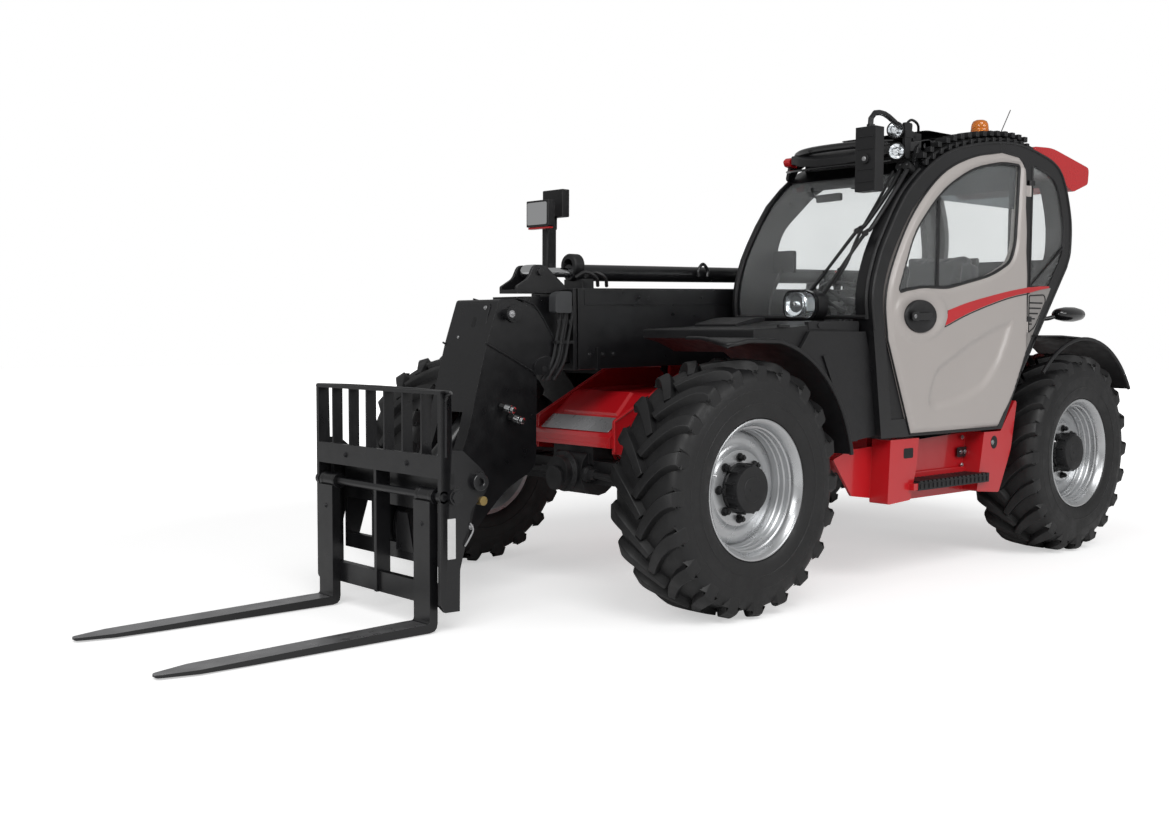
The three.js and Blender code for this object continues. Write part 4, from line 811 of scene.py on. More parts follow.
# ---- Cab -------------------------------------------------------------------------
CAB_OUTER_Y = 1120.0
CAB_INNER_Y = 205.0
CAB_SPINE = [
    (-920, 1308),
    (-899, 1456),
    (-927, 1603),
    (-1013, 1779),
    (-1217, 2040),
    (-1568, 2249),
    (-2101, 2342),
    (-2475, 2311),
    (-2703, 2223),
    (-2820, 1989),
    (-2832, 1786),
    (-2792, 1679),
    (-2320, 1077),
    (-2125, 765),
]
DOOR_CURVE = [
    (-1038, 1259), (-1015, 1458), (-1075, 1648), (-1239, 1902), (-1482, 2112), (-1758, 2224),
    (-2053, 2278),
]
DOOR_CORNERS = [
    (-2230, 2268), (-2300, 2212), (-2348, 1500), (-2356, 1200), (-2220, 950), (-2072, 780), (-1244, 780)
]
WINDOW_CORNERS = [
    (-1110, 1495, 40),
    (-1192, 1512, 60),
    (-1323, 1530, 60),
    (-1551, 1530, 60),
    (-1983, 1612, 120),
    (-2170, 1690, 120),
    (-2215, 1790, 100),
    (-2240, 2225, 30),
    (-2055, 2225, 80),
    (-1761, 2168, 120),
    (-1485, 2034, 120),
    (-1243, 1807, 100),
]
POCKET = [
    (-1439, 1118), (-1385, 1010), (-1366, 915), (-1450, 882), (-1680, 915), (-1910, 982), (-2060, 1110)
]
POCKET += [(-2152, 1258), (-2200, 1378), (-2125, 1372), (-1942, 1322), (-1742, 1250)]
HANDLE = (-1291, 1379)
HANDLE_HALF = (138, 84)


def flat_curve(points, steps=6):
    """Catmull-Rom curve in a plane."""
    return [(p.x, p.y) for p in smooth_path([(a, b, 0) for a, b in points], steps)]


def offset_line(points, distance):
    """Open line moved sideways; positive is to the left of its direction."""
    moved = []
    for i, point in enumerate(points):
        before = Vector(points[max(i - 1, 0)])
        after = Vector(points[min(i + 1, len(points) - 1)])
        ahead = (after - before).normalized()
        moved.append((point[0] - ahead.y * distance, point[1] + ahead.x * distance))
    return moved


def inside(point, outline):
    x, z = point
    result = False
    for i, (x1, z1) in enumerate(outline):
        x0, z0 = outline[i - 1]
        if (z0 > z) != (z1 > z) and x < (x1 - x0) * (z - z0) / (z1 - z0) + x0:
            result = not result
    return result


def distance_to(point, outline):
    best = 1e9
    here = Vector(point)
    for i, end in enumerate(outline):
        start = Vector(outline[i - 1])
        side = Vector(end) - start
        share = max(0.0, min(1.0, (here - start).dot(side) / max(side.length_squared, 1e-9)))
        best = min(best, (here - start - side * share).length)
    return best


def ease(value):
    value = max(0.0, min(1.0, value))
    return value * value * (3 - 2 * value)


def door_outline():
    return [*flat_curve(DOOR_CURVE, 5), *DOOR_CORNERS]


def panel_relief(point, pocket):
    """Height of the door panel: a swelling round the handle and a swept pocket below."""
    x, z = point
    ring = math.hypot((x - HANDLE[0] + 6) / 215, (z - HANDLE[1] - 10) / 126)
    swell = 9 * ease((1.12 - ring) / 0.12) if ring > 0.96 else 9 - 14 * ease((0.96 - ring) / 0.35)
    if inside(point, pocket):
        swell -= 17 * ease(distance_to(point, pocket) / 48)
    return swell


def relief_skin(outline, hole, height, base_y, step):
    """Panel face with relief on one side and a skirt back to its base."""
    points = []
    edges = []
    for ring in (outline, hole):
        start = len(points)
        points += [Vector(p) for p in ring]
        edges += [(start + i, start + (i + 1) % len(ring)) for i in range(len(ring))]
    low_x, high_x = min(p[0] for p in outline), max(p[0] for p in outline)
    low_z, high_z = min(p[1] for p in outline), max(p[1] for p in outline)
    x = low_x
    while x < high_x:
        z = low_z
        while z < high_z:
            here = (x, z)
            if inside(here, outline) and not inside(here, hole):
                if min(distance_to(here, outline), distance_to(here, hole)) > step * 0.4:
                    points.append(Vector(here))
            z += step
        x += step
    flat, _, faces, _, _, _ = delaunay_2d_cdt(points, edges, [], 0, 1e-3)
    kept = []
    for face in faces:
        middle = sum((flat[i] for i in face), Vector((0, 0))) / len(face)
        if inside(middle, outline) and not inside(middle, hole):
            kept.append(tuple(face))
    shape = Shape()
    tops = [(p.x, base_y + height((p.x, p.y)), p.y) for p in flat]
    shape.add(tops, kept)
    for ring in (outline, hole):
        count = len(ring)
        top = [(a, base_y + height((a, b)), b) for a, b in ring]
        foot = [(a, base_y - 2, b) for a, b in ring]
        walls = [(i, (i + 1) % count, count + (i + 1) % count, count + i) for i in range(count)]
        shape.add([*top, *foot], walls)
    return shape


def add_door():
    outline = door_outline()
    window = rounded(WINDOW_CORNERS, 6)
    pocket = rounded([(*p, 50) for p in POCKET], 4)
    edge = rounded([(*p, 0) for p in outline])

    def height(point):
        rim = min(distance_to(point, outline), distance_to(point, window))
        return 1.5 + 17.0 * ease(rim / 20) + panel_relief(point, pocket) * ease(rim / 40)

    skin = relief_skin(edge, window, height, CAB_OUTER_Y, 17.0)
    piece("door_skin", skin, GREY, "door", angle=50)
    dress("cab_door", GREY, 3)
    dress("door_window", GLASS)
    trims = Shape()
    seal = [(a, CAB_OUTER_Y + 1, b) for a, b in window]
    trims.tube([*seal, seal[0]], 9, 8)
    trims.block((-1476, CAB_OUTER_Y - 16, 1531), (-1454, CAB_OUTER_Y + 1, 2028))
    border = [(a, CAB_OUTER_Y + 1.5, b) for a, b in offset_line(outline, -3)]
    trims.tube([*border, border[0]], 5, 8)
    piece("door_seals", trims, PLASTIC, "door", angle=40)
    add_door_lining()
    add_door_handle()
    add_stripe()
    shade = Shape()
    top = [p for p in window if p[1] > 2010]
    top = sorted(set(top), key=lambda p: p[0])
    lower = [(top[-1][0], 1985), (top[0][0], 1985)]
    shade.prism([*top, *lower], CAB_OUTER_Y - 22, CAB_OUTER_Y - 20)
    piece("door_shade", shade, TINTED, "door")


def add_door_lining():
    """Moulded panel, pocket and grab bar on the door's inner side."""
    inner_y = CAB_OUTER_Y - 34.5
    edge = [(-1345, 1425, 40), (-1900, 1500, 60), (-2170, 1600, 40), (-2225, 1480, 40), (-2225, 1240, 60)]
    edge += [(-2130, 1020, 60), (-2010, 885, 50), (-1345, 885, 60), (-1230, 1140, 80), (-1215, 1300, 60)]
    lining = Shape().prism(rounded(edge, 4), inner_y - 10, inner_y)
    pocket = rounded([(-1980, 930, 40), (-1420, 930, 50), (-1380, 1080, 50), (-2060, 1080, 50)], 4)
    lining.prism(pocket, inner_y - 34, inner_y - 9)
    lining.pipe([(-1420, inner_y - 8, 1180), (-1450, inner_y - 46, 1196), (-1760, inner_y - 52, 1290),
                             (-2050, inner_y - 46, 1378), (-2080, inner_y - 8, 1392)], 13, 12, steps=5)
    piece("door_lining", lining, PLASTIC, "door", bevel=4)


def add_door_handle():
    x, z = HANDLE
    a, b = HANDLE_HALF
    y = CAB_OUTER_Y + 18
    dish = Shape()
    rings = [(1.02, -6.0), (1.0, 6.0), (0.96, 10.0), (0.88, 8.0), (0.76, 2.5), (0.45, -1.0), (0.0, -1.5)]
    count = 40
    points = []
    for share, rise in rings:
        points += [
            (u, y + rise, w) for u, w in ellipse(x, z, a * max(share, 0.01), b * max(share, 0.01), count)
        ]
    dish.add(points, ring_faces(len(rings), count))
    piece("door_handle_dish", dish, PLASTIC, "door", angle=60)
    grip = Shape()
    pull = rounded([(x - 92, z - 17), (x + 84, z - 20), (x + 84, z + 14), (x - 92, z + 20)], 4, 16)
    grip.prism(pull, y + 5, y + 13)
    grip.prism(
        rounded(
            [(x + 30, z - 24, 10), (x + 92, z - 20, 14), (x + 92, z + 20, 14), (x + 30, z + 26, 10)], 4
        ),
        y + 8, y + 16,
    )
    grip.rod((x + 66, y + 15, z), (x + 66, y + 18, z), 11, 20, 1)
    grip.block((x + 64.5, y + 17.5, z - 7), (x + 67.5, y + 18.5, z + 7), 0)
    piece("door_handle", grip, [GLOSS, STEEL], "door", bevel=2.5)


def ellipse(x, z, a, b, count):
    turns = [2 * math.pi * i / count for i in range(count)]
    return [(x + a * math.cos(t), z + b * math.sin(t)) for t in turns]


def add_stripe():
    """Plain tapering band on the door, which runs on over the rear panel."""
    top = flat_curve([(-1535, 1412), (-1750, 1462), (-2100, 1522), (-2349, 1555)], 5)
    low = flat_curve([(-2349, 1526), (-2100, 1488), (-1750, 1406), (-1512, 1332)], 5)
    band = Shape().prism([*top, *low], CAB_OUTER_Y + 16.0, CAB_OUTER_Y + 20.5)
    piece("door_stripe", band, RED, "door", bevel=0.8)
    edge = Shape()
    line = [(a, CAB_OUTER_Y + 19, b - 6) for a, b in low]
    edge.tube([*line, (-1520, CAB_OUTER_Y + 19, 1366), (-1536, CAB_OUTER_Y + 19, 1414)], 3.2, 6)
    piece("door_stripe_edge", edge, PLASTIC, "door")
    rear = Shape().prism(
        [(-2364, 1553), (-2480, 1563), (-2590, 1566), (-2590, 1556), (-2480, 1542), (-2364, 1521)],
        CAB_OUTER_Y + 3.0, CAB_OUTER_Y + 5.5,
    )
    piece("panel_stripe", rear, RED, "chassis", bevel=0.8)


def cab_ring_line(depth, first=0.0, last=1.0, steps=8):
    """Side outline of the cab from the front sill over the roof to the rear sill."""
    corners = flat_curve(CAB_SPINE[:12], steps)
    line = [*corners, CAB_SPINE[12], CAB_SPINE[13]]
    line = offset_line(line, depth)
    count = len(line)
    return line[int(first * count) : max(2, int(last * count))]


def add_quarter_panel():
    panel = [(-2366, 1556), (-2614, 1556), (-2590, 1520), (-2366, 1206)]
    shape = Shape().prism(panel, CAB_OUTER_Y - 3, CAB_OUTER_Y + 2.5)
    piece("quarter_panel", shape, [QUARTER_GREY], "chassis", bevel=2)
    vent = rounded(
        [(-2376, 1508, 10), (-2540, 1516, 26), (-2556, 1480, 20), (-2440, 1330, 30), (-2376, 1300, 10)], 4
    )
    lip = [(a, CAB_OUTER_Y + 3, b) for a, b in vent]
    frame_line = Shape().tube([*lip, lip[0]], 4, 6)
    for i in range(5):
        z = 1348 + 30 * i
        rear = -2376 - min(150, 38 + 32 * i)
        frame_line.block((rear + 4, CAB_OUTER_Y + 1, z - 4), (-2384, CAB_OUTER_Y + 4.5, z + 4))
    piece("quarter_vent", frame_line, PLASTIC, "chassis", bevel=1)


def add_cab_seals():
    seals = Shape()
    outer = [(a, CAB_OUTER_Y, b) for a, b in cab_ring_line(6, 0.0, 0.99)]
    seals.tube(outer, 7, 8)
    glass = [(a, CAB_OUTER_Y - 2, b) for a, b in cab_ring_line(90, 0.46, 0.9) if a < -2384 and b > 1540]
    seals.tube(glass, 8, 8)
    seals.tube(
        [glass[0], (-2384, CAB_OUTER_Y - 2, glass[0][2]), (-2384, CAB_OUTER_Y - 2, 1560), glass[-1]], 8, 8
    )
    for y in (CAB_INNER_Y + 30, CAB_OUTER_Y - 30):
        line = [(a + 1, y, b) for a, b in cab_ring_line(-4, 0.03, 0.5) if 1350 < b < 2135]
        seals.tube(line, 10, 8)
    filler = [(-1033, 1264), (-990, 1264), (-1060, 772), (-1238, 772)]
    seals.prism(filler, CAB_OUTER_Y - 22, CAB_OUTER_Y - 8)
    low = [(-898, y, 1372) for y in (CAB_INNER_Y + 30, CAB_OUTER_Y - 30)]
    seals.tube(low, 12, 8)
    piece("cab_seals", seals, PLASTIC, "chassis", angle=40)


def add_wipers():
    """Two arms from the roof corner to the foot of the windscreen, with one blade each."""
    arms = Shape()
    routes = [
        (
            [(-1282, 1012, 2140), (-1150, 1030, 2012), (-1000, 1000, 1836)],
            [(-985, 960, 1806), (-900, 830, 1600), (-850, 720, 1452)],
        ),
        (
            [(-1272, 1060, 2138), (-1140, 1072, 2008), (-985, 1050, 1820)],
            [(-972, 1020, 1790), (-890, 930, 1610), (-848, 850, 1478)],
        ),
    ]
    for shank, reach in routes:
        path = smooth_path([*shank, *reach], 6)
        arms.tube(path, 13, 10, 0, 7)
        arms.rod(
            (shank[0][0] - 26, shank[0][1], shank[0][2] - 14),
            (shank[0][0] + 18, shank[0][1], shank[0][2] + 10), 24, 16, 0,
        )
        arms.bolt(shank[0], (0.7, 0, 0.7), 10, 18, 1)
        joint = Vector(reach[0])
        arms.rod(joint + Vector((-14, -14, 0)), joint + Vector((14, 14, 0)), 15, 12, 0)
        end = Vector(reach[-1])
        middle = Vector(reach[1])
        blade_dir = (end - middle).normalized()
        start = middle + blade_dir * 20
        arms.tube([start + Vector((-14, 0, 4)), end + blade_dir * 26 + Vector((-16, 0, 0))], 7, 6, 0)
        arms.rod(middle + Vector((-10, 0, 0)), middle + Vector((10, 0, 0)), 9, 8, 0)
    hose = smooth_path(
        [
            (-1240, 990, 2120), (-1110, 1000, 1968), (-965, 985, 1780), (-905, 960, 1640),
            (-880, 900, 1540),
        ],
        5,
    )
    arms.tube(hose, 8, 8, 0)
    piece("wiper_arms", arms, [PLASTIC, STEEL], "chassis", angle=40)


def round_lamp(name, centre, facing, radius, depth, lens):
    """Round lamp: housing, bezel and a domed lens in front of a bright reflector."""
    axis = Vector(facing).normalized()
    profile_body = [
        (0, -depth), (radius * 0.55, -depth), (radius * 0.9, -depth * 0.5), (radius * 1.1, -4),
        (radius * 1.1, 6),
    ]
    profile_body += [(radius * 1.0, 8), (radius * 0.94, 2)]
    turned(name + "_housing", profile_body, centre, axis, PLASTIC)
    dish = [
        (radius * 0.94, 1), (radius * 0.7, -14), (radius * 0.35, -24), (radius * 0.16, -26),
        (radius * 0.13, -8), (0, -6),
    ]
    turned(name + "_reflector", dish, centre, axis, CHROME)
    glass = [(radius * 0.95, 2), (radius * 0.8, 7), (radius * 0.5, 10), (0, 11)]
    turned(name + "_lens", glass, centre, axis, lens)


def turned(name, profile, centre, axis, look, body="chassis", segments=32, stands_for=()):
    shape = Shape().lathe(profile, (0, 0, 0), "z", segments)
    turn = Vector((0, 0, 1)).rotation_difference(Vector(axis).normalized())
    shape.points = [turn @ p + Vector(centre) for p in shape.points]
    return piece(name, shape, look, body, stands_for, angle=40)


def add_roof():
    dress("cab_roof", PLASTIC, 6)
    crest = cab_ring_line(-42, 0.30, 0.72, 10)
    guard = Shape()
    for y, rise in ((1040, 0), (1092, -28)):
        rail = [(a, y, b + rise) for a, b in crest if -2420 < a < -1330]
        guard.tube(rail, 9, 8)
    teeth = [p for p in cab_ring_line(-44, 0.30, 0.72, 24) if -2400 < p[0] < -1360]
    spacing = 62.0
    last = None
    for a, b in teeth:
        if last is not None and math.hypot(a - last[0], b - last[1]) < spacing:
            continue
        last = (a, b)
        guard.block((a - 16, 1026, b - 12), (a + 16, 1098, b + 17))
        guard.block((a - 13, 1094, b - 50), (a + 13, 1112, b - 20))
    piece("roof_guard", guard, PLASTIC, "chassis", bevel=3)
    deck = Shape()
    rows = [(-1700, 1966), (-1984, 2260)]
    for x1, x0 in rows:
        deck.prism(round_box(x0 * -1, 300, x1, 880, 30, 4), 2386, 2390, "z")
    for i in range(5):
        y = 340 + 110 * i
        line = [(a, y, b + 3) for a, b in crest if -2440 < a < -1480]
        deck.tube(line, 7, 6)
    piece("roof_ribs", deck, PLASTIC, "chassis", bevel=2)
    add_beacon()
    round_lamp("work_lamp_high", (-1238, 1000, 2330), (1.0, 0.35, -0.1), 40, 60, HEAD_LENS)
    round_lamp("work_lamp_low", (-1246, 1004, 2222), (1.0, 0.35, -0.1), 40, 60, HEAD_LENS)
    bracket = Shape()
    bracket.prism(
        rounded([(-1330, 2190, 10), (-1290, 2190, 10), (-1280, 2372, 14), (-1350, 2372, 14)], 4), 1012,
        1028,
    )
    bracket.block((-1380, 950, 2296), (-1290, 1030, 2330))
    bracket.pipe([(-1300, 1012, 2352), (-1360, 1010, 2392), (-1450, 990, 2380), (-1500, 960, 2340)], 7, 8)
    piece("lamp_bracket", bracket, PLASTIC, "chassis", bevel=3)
    rear = Shape()
    for y in (330, 960):
        rear.rod((-2560, y, 2260), (-2640, y, 2250), 38, 24)
    piece("rear_lamp_bodies", rear, PLASTIC, "chassis", bevel=4)


def add_beacon():
    middle = centre_of("beacon")
    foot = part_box("beacon")[0].z / MM
    x, y = (middle.x - AXLE_X) / MM, middle.y / MM
    base = [(0, foot), (62, foot), (62, foot + 14), (56, foot + 20), (46, foot + 22), (0, foot + 22)]
    turned("beacon_base", base, (x, y, 0), (0, 0, 1), PLASTIC)
    dome = [
        (50, 20), (52, 30), (52, 44), (49, 46), (51, 50), (50, 70), (47, 72), (49, 76), (46, 98),
        (38, 114), (24, 121), (0, 124),
    ]
    turned(
        "beacon_dome", [(r, foot + h) for r, h in dome], (x, y, 0), (0, 0, 1), AMBER,
        stands_for=["beacon"],
    )
    bulb = [(0, 24), (20, 24), (24, 50), (22, 80), (10, 92), (0, 94)]
    turned("beacon_reflector", [(r, foot + h) for r, h in bulb], (x, y, 0), (0, 0, 1), CHROME)
    whip = Shape().tube([(-2330, 930, 2360), (-2352, 934, 2440), (-2420, 950, 2570)], 2.6, 8)
    whip.rod((-2330, 930, 2350), (-2334, 931, 2392), 9, 12)
    piece("antenna", whip, PLASTIC, "chassis")


def add_visor_details():
    dress("rear_visor", RED_PLASTIC, 8)
    tip = Shape()
    tip.prism(
        rounded(
            [(-1376, 2212, 8), (-1322, 2222, 10), (-1308, 2248, 10), (-1334, 2270, 10), (-1380, 2264, 8)],
            3,
        ),
        204, 250,
    )
    piece("visor_tip", tip, RED_PLASTIC, "chassis", bevel=3)
    cheeks = Shape()
    droop = rounded(
        [
            (-1480, 2238, 10), (-1480, 2296, 20), (-1386, 2286, 24), (-1350, 2250, 20), (-1318, 2146, 16),
            (-1362, 2128, 10), (-1404, 2196, 30),
        ],
        4,
    )
    for y in (216, 1042):
        cheeks.prism(droop, y, y + 18)
    brim = [
        (-1392, 224, 2272), (-1290, 300, 2284), (-1222, 400, 2288), (-1190, 540, 2290),
        (-1190, 735, 2290), (-1222, 872, 2288),
    ]
    brim += [(-1290, 975, 2284), (-1392, 1050, 2274)]
    cheeks.pipe([(x - 30, y, z - 14) for x, y, z in brim], 20, 10, steps=5)
    piece("visor_cheeks", cheeks, GLOSS, "chassis", bevel=4)
    lip = Shape()
    edge = [
        (-1264, 296, 2160), (-1196, 405, 2150), (-1166, 545, 2146), (-1166, 730, 2146),
        (-1196, 870, 2150), (-1264, 980, 2162),
    ]
    lip.pipe([(x + 30, y, z + 16) for x, y, z in edge], 6, 8, steps=5)
    piece("visor_lip", lip, GLOSS, "chassis")


def headlight(name, side):
    """Pod on the cowl: dark shell, gloss black bezel, clear lamp on a chrome reflector inboard and ribbed
    side lamp outboard.
    """
    shell = rounded(
        [
            (712, 1398, 40), (730, 1366, 30), (892, 1358, 44), (926, 1400, 46), (920, 1478, 46),
            (868, 1504, 46), (742, 1506, 46), (712, 1474, 40),
        ],
        5,
    )
    inner = [(820 + (a - 820) * 0.9, 1434 + (b - 1434) * 0.88) for a, b in shell]
    body = Shape().prism(shell, -812, -738, "x")
    body.rod((-784, 800, 1352), (-784, 800, 1390), 20, 16)
    body.block((-824, 766, 1345), (-740, 860, 1362))
    bezel = Shape().prism(shell, -738, -716, "x", holes=[inner])
    dish = Shape().prism(inner, -736, -733, "x")
    bowl = [(58, 16), (56, 8), (40, -2), (16, -3), (14, 12), (10, 22), (0, 24)]
    dish.lathe(bowl, (-732, 784, 1436), "x", 32)
    marker = Shape().prism([(858, 1388), (912, 1402), (908, 1470), (862, 1486)], -731, -722, "x")
    for i in range(5):
        marker.block((-722, 862 + 10 * i, 1400), (-720, 868 + 10 * i, 1470))
    lens = Shape().prism(inner, -722, -710, "x")
    parts = [("shell", body, PLASTIC, 10), ("bezel", bezel, GLOSS, 4), ("reflector", dish, CHROME, 0)]
    parts += [("marker", marker, CLEAR_LENS, 1), ("lens", lens, HEAD_LENS, 4)]
    for label, shape, finish, bevel in parts:
        made = shape if side > 0 else shape.mirrored()
        piece(f"headlight_{name}_{label}", made, finish, "chassis", bevel=bevel)


def add_cowls():
    for name, side in SIDES:
        dress(f"cowl_{name}", PLASTIC, 26)
        headlight(name, side)
        extra = Shape()
        extra.prism(
            rounded(
                [(-640, 1353, 8), (-640, 1372, 8), (-560, 1366, 10), (-420, 1336, 10), (-420, 1322, 4)], 3
            ),
            380, 660,
        )
        extra.prism(
            rounded([(-300, 1040, 10), (-250, 1062, 6), (-250, 1080, 6), (-330, 1080, 10)], 3), 1318,
            1330, "z",
        )
        for i in range(3):
            extra.block((-860 + 44 * i, 950, 1352), (-838 + 44 * i, 1040, 1360))
        extra.block((-700, 1040, 1310), (-480, 1066, 1346))
        extra.prism(circle(-560, 1328, 13, 16), 1064, 1072)
        piece(f"cowl_{name}_trim", extra if side > 0 else extra.mirrored(), PLASTIC, "chassis", bevel=3)


def add_mirrors():
    dress("mirror_left", PLASTIC, 9)
    dress("mirror_right", PLASTIC, 8)
    left = Shape()
    left.prism(round_box(1000, 2004, 1100, 2296, 16, 4), -993, -990.5, "x")
    piece("mirror_left_glass", left, MIRROR, "chassis")
    back = Shape()
    for z in (2040, 2100, 2200, 2260):
        back.block((-921, 1004, z - 3), (-916, 1096, z + 3))
    back.rod((-921, 1052, 2150), (-908, 1052, 2150), 24, 24)
    back.bolt((-908, 1052, 2150), (1, 0, 0), 9, 7, 1)
    back.rod((-955, 1055, 2290), (-955, 1055, 2322), 20, 20)
    back.rod((-1360, 985, 2290), (-1400, 985, 2330), 22, 16)
    piece("mirror_left_trim", back, [PLASTIC, STEEL], "chassis", bevel=2)
    right = Shape()
    right.prism(round_box(-980, 1908, -800, 2044, 12, 4), -482.5, -480, "x")
    right.prism(round_box(-970, 1968, -810, 2112, 10, 4), -602.5, -600, "x")
    right.prism(round_box(-978, 1912, -802, 2040, 12, 4), -430, -427, "x")
    piece("mirror_right_glass", right, MIRROR, "chassis")
    stem = Shape()
    stem.rod((-530, -900, 1640), (-530, -900, 1690), 40, 20)
    stem.rod((-530, -900, 1372), (-530, -900, 1400), 44, 20)
    for x, y in ((-640, -945), (-640, -855), (-490, -945), (-490, -855)):
        stem.bolt((x, y, 1372), (0, 0, 1), 9, 8, 1)
    stem.pipe([(-505, -870, 1400), (-480, -862, 1600), (-490, -868, 1800), (-500, -880, 1890)], 7, 8, 0)
    piece("mirror_right_trim", stem, [PLASTIC, STEEL], "chassis", bevel=2)
    band = Shape().prism(round_box(-985, 1888, -795, 1899, 4, 2), -470, -440, "x")
    piece("mirror_right_band", band, RED_PLASTIC, "chassis", bevel=2)


def add_rear_lamps():
    """Dark oval lamp beside each rear fender, as the machine carries on its left."""
    for name, side in SIDES:
        pod = Shape()
        count = 28
        rings = [
            (-3120, 0.0), (-3112, 0.5), (-3085, 0.82), (-3020, 1.0), (-2940, 0.98), (-2870, 0.8),
            (-2835, 0.5), (-2828, 0.0),
        ]
        points = []
        for x, share in rings:
            share = max(share, 0.02)
            for i in range(count):
                t = 2 * math.pi * i / count
                points.append(
                    (x, side * (1040 + 62 * share * math.cos(t)), 1410 + 44 * share * math.sin(t))
                )
        pod.add(points, ring_faces(len(rings), count))
        stalk = smooth_path(
            [(-2850, side * 1030, 1400), (-2800, side * 1010, 1385), (-2742, side * 985, 1380)], 4
        )
        if side > 0:
            pod.tube(stalk, 13, 10)
        else:
            pod.tube([(-2960, -1030, 1375), (-2960, -1000, 1290)], 13, 10)
        piece(f"rear_lamp_{name}", pod, GLOSS, "chassis", angle=60)


# ---- Inside the cab ----------------------------------------------------------------
CLOTH_FRAMES = 20
CLOTH_CAP = 0.022
CLOTH_VOXEL = 0.006
CLOTH_STIFFNESS = 30
CUSHION_EDGE = 0.028


def cushion(name, size, centre, lean, pressure):
    """Upholstered pad: a rounded block inflated by a cloth run, then smoothed."""
    mesh = bpy.data.meshes.new(name)
    form = bmesh.new()
    bmesh.ops.create_cube(form, size=1.0)
    for vert in form.verts:
        vert.co = Vector((vert.co.x * size[0] * MM, vert.co.y * size[1] * MM, vert.co.z * size[2] * MM))
    bmesh.ops.bevel(
        form, geom=list(form.edges), offset=CUSHION_EDGE, segments=3, affect="EDGES", profile=0.6
    )
    form.to_mesh(mesh)
    form.free()
    pad = bpy.data.objects.new(name, mesh)
    bpy.context.scene.collection.objects.link(pad)
    remesh = pad.modifiers.new("remesh", "REMESH")
    remesh.mode = "VOXEL"
    remesh.voxel_size = CLOTH_VOXEL
    settle(pad)
    inflate(pad, pressure)
    turn = Matrix.Rotation(math.radians(lean), 4, "Y")
    pad.data.transform(Matrix.Translation(place(*centre)) @ turn)
    smooth = pad.modifiers.new("smooth", "SUBSURF")
    smooth.levels = 1
    smooth.render_levels = smooth.levels
    pad.data.materials.append(FABRIC)
    pad.data.polygons.foreach_set("use_smooth", [True] * len(pad.data.polygons))
    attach(pad, "chassis")
    return pad


def inflate(pad, pressure):
    """Swells a pad with a cloth run, no point further than the cap."""
    cloth = pad.modifiers.new("cloth", "CLOTH")
    cloth.settings.use_pressure = True
    cloth.settings.uniform_pressure_force = pressure
    cloth.settings.effector_weights.gravity = 0.0
    cloth.settings.tension_stiffness = CLOTH_STIFFNESS
    cloth.settings.compression_stiffness = CLOTH_STIFFNESS
    cloth.point_cache.frame_start = 1
    cloth.point_cache.frame_end = CLOTH_FRAMES
    scene = bpy.context.scene
    before = [v.co.copy() for v in pad.data.vertices]
    for number in range(1, CLOTH_FRAMES + 1):
        scene.frame_set(number)
    settle(pad)
    for vert, start in zip(pad.data.vertices, before):
        move = vert.co - start
        if move.length > CLOTH_CAP:
            vert.co = start + move.normalized() * CLOTH_CAP
    scene.frame_set(1)


def settle(thing):
    """Applies the modifiers by taking the evaluated mesh."""
    graph = bpy.context.evaluated_depsgraph_get()
    done = bpy.data.meshes.new_from_object(thing.evaluated_get(graph), depsgraph=graph)
    thing.modifiers.clear()
    old = thing.data
    thing.data = done
    bpy.data.meshes.remove(old)


